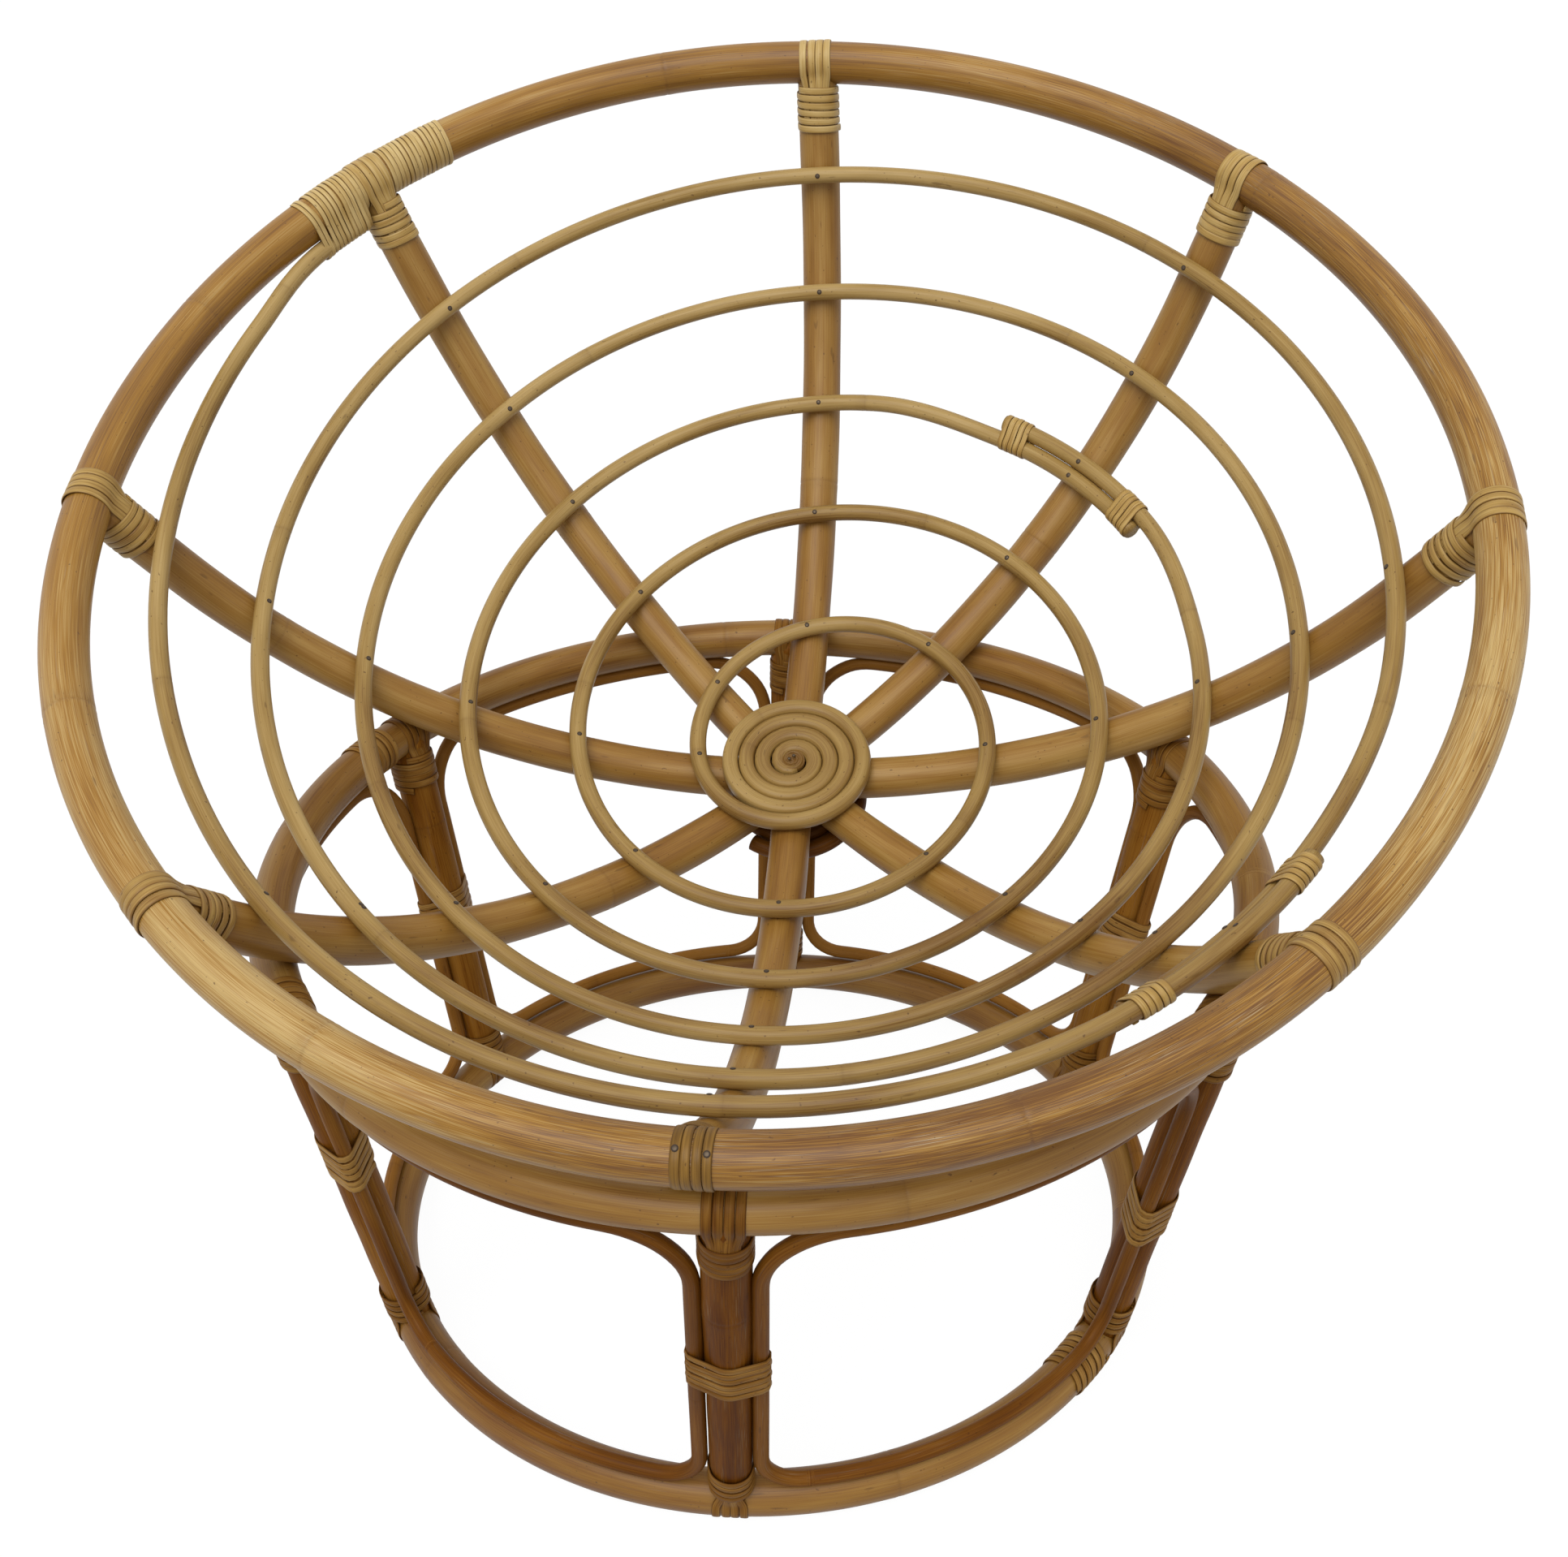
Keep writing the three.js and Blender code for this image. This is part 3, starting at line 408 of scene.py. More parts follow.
def hull_radius(angle, near, far, apart):
    """Distance from the middle of a circle to the band pulled round it and a second circle.

    The band leaves the first circle at the angle g with cos g = (R - r) / d, and runs straight
    to the same angle on the second: it is R / cos(b - g), and round the second circle it is
    d cos b + sqrt(r^2 - d^2 sin^2 b).
    """
    b = np.abs((angle + math.pi) % (2 * math.pi) - math.pi)
    g = math.acos((near - far) / apart)
    second = math.atan2(far * math.sin(g), apart + far * math.cos(g))
    round_second = apart * np.cos(b) + np.sqrt(np.clip(far ** 2 - (apart * np.sin(b)) ** 2, 0, None))
    straight = near / np.cos(np.clip(b - g, -1.5, 1.5))
    return np.where(b < second, round_second, np.where(b < g, straight, near))


def winding(axis, out, around, outline, start, pitch, turns, seed, first, width=5.9, thick=CANE,
            wander=0.35):
    """A cane strip wound round poles: point = axis(s) + R(t) (cos t out + sin t around).

    s grows by one pitch a turn and wanders a little, R(t) is the outline that the strip lies
    on, and the last stretch lifts off as a cut end.
    """
    theta = np.linspace(first, first + 2 * math.pi * turns, int(turns * 44) + 4)
    gone = theta - first
    s = start + pitch * gone / (2 * math.pi) + wavering(gone, wander, seed)
    radial = np.cos(theta)[:, None] * out + np.sin(theta)[:, None] * around
    radius = outline(theta) + np.abs(wavering(gone, 0.15, seed + 1))
    radius = radius + CUT_LIFT * np.clip(1 - (theta[-1] - theta) / 0.35, 0, 1) ** 2
    return strip(axis(s) + radius[:, None] * radial, radial, width, thick, seed)


def over_tails(radius):
    """The outline of a pole with strips lying on its two faces."""
    return lambda theta: radius + 1.1 * smoothstep(np.abs(np.cos(theta)), 0.30, 0.72)


def saddle_strip(centre, frame_axes, axis, ring, member, offset, narrow, reach, seed, width):
    """A strip from a pole's outer face, over the ring that it meets, to the pole's inner face.

    On the ring: point = centre + R (cos p out + sin p up) + x around. On the pole, the strip
    lies at the distance sqrt(r^2 - x^2) from the pole's middle.
    """
    around, out, up = frame_axes
    rest = member + 0.25
    turn = np.radians(np.linspace(-30, 210, 60))
    over = np.stack([np.full_like(turn, offset), ring * np.cos(turn), ring * np.sin(turn)], axis=-1)
    over = centre + over @ frame_axes
    over_normal = np.cos(turn)[:, None] * out + np.sin(turn)[:, None] * up
    down = np.linspace(reach, ring * 0.98, 16)
    x = offset * narrow
    face = math.sqrt(max(rest ** 2 - x ** 2, 1.0))
    near = axis(down) + x * around + face * out
    far = axis(down[::-1]) + x * around - face * out
    near_normal = np.tile(unit(x * around + face * out), (16, 1))
    far_normal = np.tile(unit(x * around - face * out), (16, 1))
    path = np.vstack([near, over, far])
    normals = np.vstack([near_normal, over_normal, far_normal])
    distances = np.arange(0, lengths(path)[-1], 1.6)
    normals = interpolated(distances, lengths(path), normals)
    path = smoothed(resampled(path, distances), 8)
    return strip(path, unit(smoothed(normals, 8)), width, 1.2, seed)


def lashing(centre, up, out, axis, ring, member, seed, turns, pitch, start=3.0, lift=0.25, narrow=0.80,
            width=LASHING_STRIP, slide=0.0):
    """Four strips over a ring, and a winding round the pole that holds their tails."""
    around = np.cross(up, out)
    start = ring + start
    reach = start + pitch * turns - 4
    made = []
    for k in range(4):
        random = np.random.default_rng(seed + 10 * k)
        offset = (k - 1.5) * (width + STRIP_GAP) + 0.3 * random.normal() + slide
        made.append(saddle_strip(centre, np.array([around, out, up]), axis, ring + lift, member, offset,
                                 narrow, reach, seed + k, width))
    made.append(winding(axis, out, around, over_tails(member + ROOM), start, pitch, turns, seed + 5,
                        first=2.2 + 0.7 * (seed % 4)))
    return made


def ring_strip(ring, theta, azimuth, radius, width, thick, seed):
    """A cane strip round a level ring: point = ring(azimuth) + R (cos t out + sin t up)."""
    radial = np.cos(theta)[:, None] * out_from_axis(azimuth) + np.sin(theta)[:, None] * UP
    return strip(ring_point(ring, azimuth) + radius[:, None] * radial, radial, width, thick, seed)


def ring_winding(ring, start, end, turns, seed, width, outline=None):
    """A cane strip wound round a level ring between two azimuths, given in degrees."""
    theta = np.linspace(0, 2 * math.pi * turns, int(turns * 44))
    random = wavering(theta, 0.3, seed) / ring["radius"]
    azimuth = np.radians(start + (end - start) * theta / theta[-1]) + random
    radius = ring["pole"] + ROOM + np.abs(wavering(theta, 0.15, seed + 1))
    if outline is not None:
        radius = np.maximum(radius, outline(theta, azimuth))
    return ring_strip(ring, theta, azimuth, radius, width, CANE, seed)


def loose_end(ring, degrees, first, last, seed):
    """A cane strip that lies part of the way round the rim, between two angles, and stands off at its end."""
    theta = np.radians(np.linspace(first, last, 60))
    azimuth = np.radians(degrees) + 0.002 * np.sin(theta) ** 2
    gone = np.clip((theta - theta[-18]) / (theta[-1] - theta[-18]), 0, 1)
    radius = np.maximum(ring["pole"] + 0.4, rim_and_strand(theta, azimuth)) + 2.2 * gone ** 2
    return ring_strip(ring, theta, azimuth, radius, LOOSE_WIDTH, THIN_CANE, seed)


def nail(place, up, radius, height=0.9):
    """A low round nail head: r = R sin(a), h = H cos(a), for a from 120 degrees down to 8."""
    up = unit(up)
    side = unit(np.cross(up, [0.3, 0.5, 0.81]))
    other = np.cross(up, side)
    a = np.radians(np.array([120, 95, 78, 60, 42, 24, 8]))[:, None]
    b = np.linspace(0, 2 * math.pi, 12, endpoint=False)[None, :]
    flat = radius * np.sin(a)
    rings = place + (flat * np.cos(b))[..., None] * side + (flat * np.sin(b))[..., None] * other
    rings = rings + np.broadcast_to(height * np.cos(a), (7, 12))[..., None] * up
    grain = np.stack([flat * np.cos(b), flat * np.sin(b), np.broadcast_to(flat, (7, 12))], axis=-1)
    return skin(rings, grain)


def wave(pairs, azimuth):
    """A smooth change round a ring: the sum of c cos(k a) + s sin(k a), with k counting the pairs from 1."""
    total = np.zeros_like(azimuth)
    for k, (c, s) in enumerate(pairs, 1):
        total = total + c * np.cos(k * azimuth) + s * np.sin(k * azimuth)
    return total


def ring_point(ring, azimuth):
    """Centreline of a hand-bent ring: a circle whose radius and height change a little round it."""
    radius = ring["radius"] + wave(ring["radial"], azimuth)
    return np.stack([radius * np.cos(azimuth) + ring["shift"], radius * np.sin(azimuth),
                     ring["height"] + wave(ring["level"], azimuth)], axis=-1)


def out_from_axis(azimuth):
    """Level directions away from the Z axis."""
    return np.stack([np.cos(azimuth), np.sin(azimuth), np.zeros_like(azimuth)], axis=-1)


def hub_share(polar):
    """How much of the hub's offset shows at a polar angle: (1 - p / 1.2) squared."""
    return np.clip(1 - polar / 1.2, 0, None) ** 2


def sphere_point(sphere, x, y):
    """The point of a sphere round the bowl's centre below x and y."""
    return np.stack([x, y, -np.sqrt(sphere ** 2 - x ** 2 - y ** 2)], axis=-1)


def bowl_point(sphere, polar, azimuth):
    """A point of the bowl at a polar angle and azimuth that are measured from the hub."""
    out = sphere * np.sin(polar)
    return sphere_point(sphere, out * np.cos(azimuth), out * np.sin(azimuth) - HUB_SHIFT * hub_share(polar))


def rib_azimuth(rib, polar):
    """A rib's azimuth in radians: it sweeps a little on its way up."""
    azimuth, sweep, *_ = RIBS[rib]
    return np.radians(azimuth + sweep * (polar - 0.6))


def rib_point(rib, polar):
    """A rib's centreline: on its sphere, and bent out to the rim's own sphere in its last stretch."""
    end = np.array([RIM_POLAR])
    meeting = ring_point(RIM, rib_azimuth(rib, end)) - bowl_point(RIB_SPHERE, end, rib_azimuth(rib, end))
    bent = smoothstep(polar, RIM_POLAR - 0.15, RIM_POLAR)[:, None]
    return bowl_point(RIB_SPHERE, polar, rib_azimuth(rib, polar)) + bent * meeting


def spiral_azimuth(turn):
    """The azimuth of the spiral, which runs clockwise seen from above."""
    return np.radians(SPIRAL_AZIMUTH - 360 * turn)


def spiral_polar(turn):
    """Polar angle of the open spiral: a cubic in the turns, a lean to one side and an oval, which grow.

    Its last stretch eases inwards a little, before it is bent to the rim.
    """
    azimuth = spiral_azimuth(turn)
    rise = 0.1605 + 0.2124 * turn - 0.0129 * turn ** 2 + 0.0015 * turn ** 3
    lean = (0.0322 - 0.0017 * turn) * np.cos(azimuth) + (0.0053 + 0.0064 * turn) * np.sin(azimuth)
    oval = (0.0051 - 0.0028 * turn) * np.sin(2 * azimuth) - (0.0007 + 0.0014 * turn) * np.cos(2 * azimuth)
    return rise + lean + oval - EASED * smoothstep(turn, EASED_FROM, EASED_TO)


def coil_point(turn):
    """The tight coil of the hub: its radius shrinks by one pitch a turn."""
    azimuth = spiral_azimuth(turn)
    radius = np.maximum(COIL_OUTER + COIL_PITCH * (turn + 0.2), 3.0)
    return sphere_point(STRAND_SPHERE, radius * np.cos(azimuth), radius * np.sin(azimuth) - HUB_SHIFT)


def strand_point(turn, aside=0.0):
    """The spiral's centreline: the coil up to turn -0.2, then open, with aside in strand radii."""
    azimuth = spiral_azimuth(turn)
    polar = spiral_polar(turn) + aside * (STRAND + 0.03) / STRAND_SPHERE
    open_part = bowl_point(STRAND_SPHERE, polar, azimuth)
    share = smoothstep(turn, -0.2, 0.1)[:, None]
    blended = coil_point(np.minimum(turn, 0.1)) * (1 - share) + open_part * share
    return unit(blended) * STRAND_SPHERE


def place_base():
    """The base's rings, legs and hoops."""
    azimuth = np.linspace(0, 2 * math.pi, 361)[:-1]
    for name, ring, seed in (("top_ring_pole", TOP_RING, 11), ("bottom_ring_pole", BOTTOM_RING, 12)):
        part, dark = pole(ring_point(ring, azimuth), ring["pole"], out_from_axis(azimuth), seed, closed=True)
        node, tone = ("base_top_ring", 0.42) if ring is TOP_RING else ("base_bottom_ring", 0.30)
        mesh_piece(name, [part], "base", [node], POLE, tone, dark)
    for k, (name, leg) in enumerate(LEGS.items()):
        bottom, top, up, _, out = leg_frame(leg)
        low, high = bottom + up * (BOTTOM_RING["pole"] - SUNK), top - up * (TOP_RING["pole"] - SUNK)
        path = low + (high - low) * np.linspace(0, 1, 20)[:, None]
        part, dark = pole(path, LEG_POLE, np.tile(out, (20, 1)), 20 + k, taper=lambda u: 0.95 + 0.09 * u,
                          meets=(BOTTOM_RING["pole"], TOP_RING["pole"]))
        mesh_piece(f"leg_pole_{name}", [part], "base", [f"leg_{name}"], LEG_WOOD, leg[3][0], dark, 0.6)
    legs = list(LEGS.values())
    for k, (bay, tone) in enumerate(BAYS.items()):
        path, out = hoop_path(legs[k], legs[(k + 1) % 6], 360 if k == 5 else 0)
        part, dark = pole(path, HOOP["pole"], out, 40 + k, sides=14, closed=True, step=6)
        mesh_piece(f"hoop_cane_{bay}", [part], "base", [f"hoop_{bay}"], CORE_DARK, tone, dark)


def leg_frame(leg):
    """A leg's ends on the two rings and its directions up, around and out."""
    low, high = np.radians(leg[:2])
    bottom, top = ring_point(BOTTOM_RING, np.array([low]))[0], ring_point(TOP_RING, np.array([high]))[0]
    up = unit(top - bottom)
    out = unit(np.cross([-math.sin(high), math.cos(high), 0.0], up))
    return bottom, top, up, np.cross(up, out), out


def hoop_path(leg, next_leg, turned):
    """A hoop on the cone between the rings: an upright oblong with round corners, bent to the cone."""
    bottom, top, *_ = leg_frame(leg)
    slant = np.linalg.norm(top - bottom)
    low = BOTTOM_RING["pole"] + HOOP["pole"] + HOOP["clear"]
    high = slant - TOP_RING["pole"] - HOOP["pole"] - HOOP["clear"]
    corner = np.linspace(0, math.pi / 2, 12)
    halves = []
    for (lowest, highest, *_), more, direction in ((leg, 0, 1), (next_leg, turned, -1)):
        lower, upper = HOOP["bottom_corner"], HOOP["top_corner"]
        beside = np.concatenate([HOOP["beside"] + lower * (1 - np.sin(corner)),
                                 HOOP["beside"] + upper * (1 - np.cos(corner))])
        height = np.concatenate([low + lower * (1 - np.cos(corner)), high - upper * (1 - np.sin(corner))])
        radius = BOTTOM_RING["radius"] + (TOP_RING["radius"] - BOTTOM_RING["radius"]) * height / slant
        middle = np.radians(more + lowest + (highest - lowest) * height / slant)
        azimuth = middle + direction * beside / radius
        halves.append(np.stack([azimuth, height], axis=-1))
    run = np.linspace(0, 1, 26)[1:-1, None]
    upper_run = halves[0][-1] * (1 - run) + halves[1][-1] * run
    lower_run = halves[1][0] * (1 - run) + halves[0][0] * run
    flat = np.vstack([halves[0], upper_run, halves[1][::-1], lower_run])
    azimuth, share = flat[:, 0], flat[:, 1:] / slant
    points = ring_point(BOTTOM_RING, azimuth) * (1 - share) + ring_point(TOP_RING, azimuth) * share
    return points + HOOP["forward"] * out_from_axis(azimuth), out_from_axis(azimuth)


def rim_tone(points):
    """How pale the rim is: palest on its right and front left, and darkest in front."""
    return 0.42 + wave(RIM_PALE, np.arctan2(points[:, 1], points[:, 0]))


def rim_wear(points):
    """How streaky the rim is: most on its front and right, where hands and backs rub it."""
    return 0.50 + wave(RIM_WORN, np.arctan2(points[:, 1], points[:, 0]))


def strand_tone(points):
    """How pale the strands are: brown in the hub and at the front, palest behind and on the left."""
    share = np.hypot(points[:, 0], points[:, 1]) / RIM["radius"]
    return 0.34 + share * (0.20 + wave([(-0.10, 0.22)], np.arctan2(points[:, 1], points[:, 0])))


def place_bowl_poles():
    """The rim, the ribs and the strands of the spiral."""
    azimuth = np.linspace(0, 2 * math.pi, 481)[:-1]
    part, dark = pole(ring_point(RIM, azimuth), RIM["pole"], out_from_axis(azimuth), 5, sides=32, closed=True)
    mesh_piece("rim_pole", [part], "bowl", ["bowl_rim"], RIM_POLE, rim_tone, dark, rim_wear)
    for k, rib in enumerate(RIBS):
        polar = np.linspace(RIB_START / RIB_SPHERE, RIM_POLAR - (RIM["pole"] - SUNK) / RIB_SPHERE, 80)
        path = rib_point(rib, polar)
        part, dark = pole(path, RIB_POLE * RIBS[rib][3], -path, 60 + k, meets=(None, RIM["pole"]))
        mesh_piece(f"rib_pole_{rib}", [part], "bowl", [f"rib_{rib}"], POLE, 0.42 + 0.05 * (k % 4), dark, 0.35)


def beside_rim(turn):
    """The strand's place where it lies along the rim, on the rim's inner side."""
    azimuth = spiral_azimuth(turn)
    inward = -out_from_axis(azimuth) * math.cos(BESIDE) - UP * math.sin(BESIDE)
    return ring_point(RIM, azimuth) + inward * (RIM["pole"] + STRAND + BESIDE_GAP)


def coil_width(u):
    """The inner strand's width along it: thin at the hub's middle, squeezed in the coil, then full."""
    return 0.70 + 0.26 * smoothstep(u, 0.0, 0.012) + 0.06 * smoothstep(u, COIL_SHARE - 0.05, COIL_SHARE)


def coil_press(u):
    """How far neighbouring turns of the coil press each other square."""
    return 0.15 * (1 - smoothstep(u, COIL_SHARE - 0.05, COIL_SHARE))


def place_spiral():
    """The three strands, each stepping aside for the next where they are spliced."""
    (a0, a1, _), (b0, b1, _) = SPLICES
    spans = {"inner": (-0.2 - COIL_TURNS, a1), "middle": (a0, b1), "outer": (b0, SPIRAL_END)}
    for k, (name, (start, end)) in enumerate(spans.items()):
        turn = np.linspace(start, end, int((end - start) * 220))
        aside = np.zeros_like(turn)
        if name != "outer":
            own = a0 if name == "inner" else b0
            aside -= smoothstep(turn, own - 0.06, own)
        if name != "inner":
            own = a1 if name == "middle" else b1
            aside += 1 - smoothstep(turn, own, own + 0.06)
        path = strand_point(turn, aside)
        if name == "outer":
            share = smoothstep(turn, *RIM_JOIN)[:, None]
            path = path * (1 - share) + beside_rim(turn) * share
        taper, pressed = (coil_width, coil_press) if name == "inner" else (None, None)
        part, dark = pole(path, STRAND, -path, 80 + k, sides=20, step=5, taper=taper, pressed=pressed)
        mesh_piece(f"spiral_core_{name}", [part], "bowl", [f"spiral_{name}"], CORE, strand_tone, dark)


def straight(centre, up):
    """The centreline of a straight pole at distances down from its joint."""
    return lambda s: centre - np.asarray(s)[:, None] * up


def place_base_cane():
    """The lashings and bindings of the legs, and the wound scarf joints of the two rings."""
    for k, (name, leg) in enumerate(LEGS.items()):
        bottom, top, up, around, out = leg_frame(leg)
        # The top lashing's tone also carries painted shade: the front one is darkened for the rim's shadow.
        _, top_tone_and_shade, middle_tone = leg[3]
        upper = lashing(top, up, out, straight(top, up), TOP_RING["pole"], LEG_POLE * 1.03, 300 + 7 * k,
                        turns=5, pitch=5.6, narrow=0.72)
        mesh_piece(f"top_cane_{name}", upper, "base", [f"top_lashing_{name}"], CANE_BASE_SHADED, top_tone_and_shade)
        lower = lashing(bottom, -up, out, straight(bottom, -up), BOTTOM_RING["pole"], LEG_POLE * 0.96,
                        400 + 7 * k, turns=4, start=1.5, pitch=6.6, lift=0.05, narrow=0.62, width=6.2)
        mesh_piece(f"bottom_cane_{name}", lower, "base", [f"bottom_lashing_{name}"], CANE_BASE_SHADED, 0.50)
        middle = bottom + (top - bottom) * leg[2]
        band = winding(straight(middle + MIDDLE_BAND["above"] * up, up), out, around, leg_and_hoops, 0.0,
                       MIDDLE_BAND["pitch"], MIDDLE_BAND["turns"], 500 + 7 * k, first=2.6,
                       width=MIDDLE_BAND["width"], wander=0.5)
        mesh_piece(f"middle_cane_{name}", [band], "base", [f"middle_binding_{name}"], CANE_BASE_SHADED, middle_tone)
    for k, (name, (ring, start, end)) in enumerate(RING_SCARFS.items()):
        band = ring_winding(ring, start, end, RING_SCARF_TURNS, 600 + k, RING_SCARF_WIDTH)
        mesh_piece(name.replace("wrap", "cane"), [band], "base", [name], CANE_BASE_SHADED, 0.7)


def leg_and_hoops(theta):
    """The band pulled round a leg and the two hoops beside it."""
    forward, beside, thin = HOOP["forward"], HOOP["beside"], HOOP["pole"] + ROOM
    apart, turned = math.hypot(forward, beside), math.atan2(beside, forward)
    return np.maximum(*(hull_radius(theta + way * turned, LEG_POLE + ROOM, thin, apart) for way in (-1, 1)))


def rim_joint(rib):
    """Where a rib meets the rim: the middle, the directions up and out, and the rib's centreline."""
    polar = np.array([RIM_POLAR])
    azimuth = rib_azimuth(rib, polar)
    centre = ring_point(RIM, azimuth)[0]

    def axis(s):
        """The rib's centreline at distances down from the rim."""
        return rib_point(rib, RIM_POLAR - np.asarray(s) / RIB_SPHERE)

    up = unit(centre - axis([45.0])[0])
    ahead = np.array([-math.sin(azimuth[0]), math.cos(azimuth[0]), 0.0])
    return centre, up, unit(np.cross(ahead, up)), axis


def place_rim_cane():
    """The lashings of the ribs to the rim, and the long winding over the rim's scarf joint."""
    for k, (rib, (azimuth, _, turns, thick)) in enumerate(RIBS.items()):
        centre, up, out, axis = rim_joint(rib)
        width, slide, look = LASHING_STRIP, 0, CANE_STRIP
        if rib == "front":
            width, slide, look = FRONT_STRIP, FRONT_SLIDE, CANE_OLIVE
        parts = lashing(centre, up, out, axis, RIM["pole"], RIB_POLE * thick, 700 + 7 * k, turns=turns + 0.4,
                        pitch=6.4, lift=OVER_SCARF if rib == "back_left" else 0.25, width=width, slide=slide)
        mesh_piece(f"rim_cane_{rib}", parts, "bowl", [f"rim_lashing_{rib}"], look,
                   0.42 + 0.2 * math.sin(math.radians(azimuth)))
    parts = [ring_winding(RIM, **RIM_SCARF, seed=800, outline=rim_and_strand)]
    parts += [loose_end(RIM, *place, 820 + k) for k, place in enumerate(LOOSE_ENDS)]
    mesh_piece("rim_scarf_cane", parts, "bowl", [], CANE_STRIP, 0.8)


def rim_and_strand(theta, azimuth):
    """The band pulled round the rim, and from STRAND_TAKEN_IN on round the strand's end beside it too."""
    toward = math.pi + BESIDE
    apart = RIM["pole"] + STRAND + BESIDE_GAP
    alone = RIM["pole"] + ROOM
    both = hull_radius(theta - toward, alone, STRAND + ROOM, apart)
    present = smoothstep(np.degrees(azimuth), *STRAND_TAKEN_IN)
    return alone + (both - alone) * present


def place_splice_cane():
    """The bindings that hold two strands together where the spiral is spliced."""
    number = 0
    for _, _, middles in SPLICES:
        for turn in middles:
            number += 1
            here = np.array([turn - 0.001, turn + 0.001])
            pair = strand_point(here)
            along = unit(pair[1] - pair[0])
            inward = -unit(pair[0])
            aside = np.cross(along, inward)
            per_turn = np.linalg.norm(pair[1] - pair[0]) / 0.002

            def axis(s, turn=turn, per_turn=per_turn):
                """The middle between the two strands at distances along them."""
                return strand_point(turn + np.asarray(s) / per_turn)

            def outline(theta):
                """The band round two equal strands, side by side."""
                flat = (STRAND + 0.3) / np.maximum(np.abs(np.sin(theta)), 1e-6)
                apart = STRAND + 0.15
                far = apart * np.abs(np.cos(theta)) + np.sqrt(
                    np.clip((STRAND + 0.3) ** 2 - (apart * np.sin(theta)) ** 2, 0, None))
                return np.where(flat * np.abs(np.cos(theta)) <= apart, flat, far)

            band = winding(axis, -aside, inward, outline, **SPLICE_BAND, seed=900 + number, first=3.6,
                           thick=THIN_CANE, wander=0.2)
            mesh_piece(f"splice_cane_{number}", [band], "bowl", [f"splice_binding_{number}"], CANE_STRIP,
                       0.45)


def place_hub_disc():
    """The wound disc under the hub: its radius grows by one pitch a turn."""
    turn = np.linspace(0, DISC["turns"], 400)
    radius = DISC["inner"] + DISC["pitch"] * turn
    angle = -2 * math.pi * turn + 1.0
    depth = RIB_SPHERE + RIB_POLE + DISC["below"]
    path = np.stack([radius * np.cos(angle), radius * np.sin(angle) - HUB_SHIFT, np.full_like(turn, -depth)],
                    axis=-1)
    part, dark = pole(path, DISC["pole"], np.tile(UP, (400, 1)), 95, sides=14, step=4)
    mesh_piece("hub_under_coil", [part], "bowl", ["hub_lower_disc"], DISC_CORE, 0.3, dark)


def place_nails():
    """A nail through the spiral at each rib, two in the hub's middle and two in the front lashing."""
    heads = []
    for rib in RIBS:
        for crossing in range(6):
            # The turn where the spiral crosses the rib, found again from itself until it stays.
            turn = 0.0
            for _ in range(4):
                azimuth = rib_azimuth(rib, spiral_polar(turn))
                base = (math.radians(SPIRAL_AZIMUTH) - azimuth) / (2 * math.pi)
                turn = base - math.floor(base) + crossing
            if not NAILED[0] <= turn <= NAILED[1]:
                continue
            spliced = any(start < turn < end for start, end, _ in SPLICES)
            for aside in [-1.0, 1.0] if spliced else [0.0]:
                middle = strand_point(np.array([turn]), np.array([aside]))[0]
                heads.append(nail(middle * (1 - (STRAND - 0.15) / STRAND_SPHERE), -middle, NAIL_RADIUS))
    hub = coil_middle(STRAND_SPHERE - STRAND - 0.6)
    for x, y in HUB_NAILS:
        heads.append(nail(hub + [x, y, 0.9], np.array([0.1, 0.1, 1.0]), HUB_NAIL_RADIUS))
    centre, up, out, _ = rim_joint("front")
    for k, angle in FRONT_NAILS:
        offset = (k - 1.5) * (FRONT_STRIP + STRIP_GAP) + FRONT_SLIDE
        normal = math.cos(angle) * out + math.sin(angle) * up
        place = centre + offset * np.cross(up, out) + (RIM["pole"] + 1.4) * normal
        heads.append(nail(place, normal, **FRONT_NAIL))
    mesh_piece("spiral_nails", heads, "bowl", [], NAIL)


def coil_middle(sphere):
    """The middle of the hub's coil at a distance from the bowl's centre."""
    return sphere_point(sphere, np.array(0.0), np.array(-HUB_SHIFT))


def place_hub_plug():
    """The frayed end of the core in the hub's middle: z = dome + h cos(2 pi r / pitch + t)."""
    edge = PLUG["radius"]
    r = edge * np.linspace(1.0, 0.03, 34)[:, None]
    t = np.linspace(0, 2 * math.pi, 48, endpoint=False)[None, :]
    ridge = PLUG["ridge"] * np.cos(2 * math.pi * r / PLUG["pitch"] + t) * smoothstep(edge - r, 0.0, 1.5)
    dome = PLUG["height"] * np.sqrt(np.clip(1 - (r / PLUG["dome"]) ** 2, 0, None))
    z = dome + ridge + 0.3 * np.cos(3 * t + r)
    wall = np.array([-8.0, -4.0])[:, None] * np.ones_like(t)
    flat = np.vstack([np.full((2, 48), edge), np.broadcast_to(r, z.shape)])
    z = np.vstack([wall, z])
    rings = np.stack([flat * np.cos(t), flat * np.sin(t), z], axis=-1)
    rings = rings + coil_middle(STRAND_SPHERE - PLUG["sunk"])
    grain = np.stack([np.broadcast_to(t * 6.0, flat.shape), flat, z], axis=-1)
    mesh_piece("hub_plug", [skin(rings, grain)], "bowl", [], CORE, 0.05)


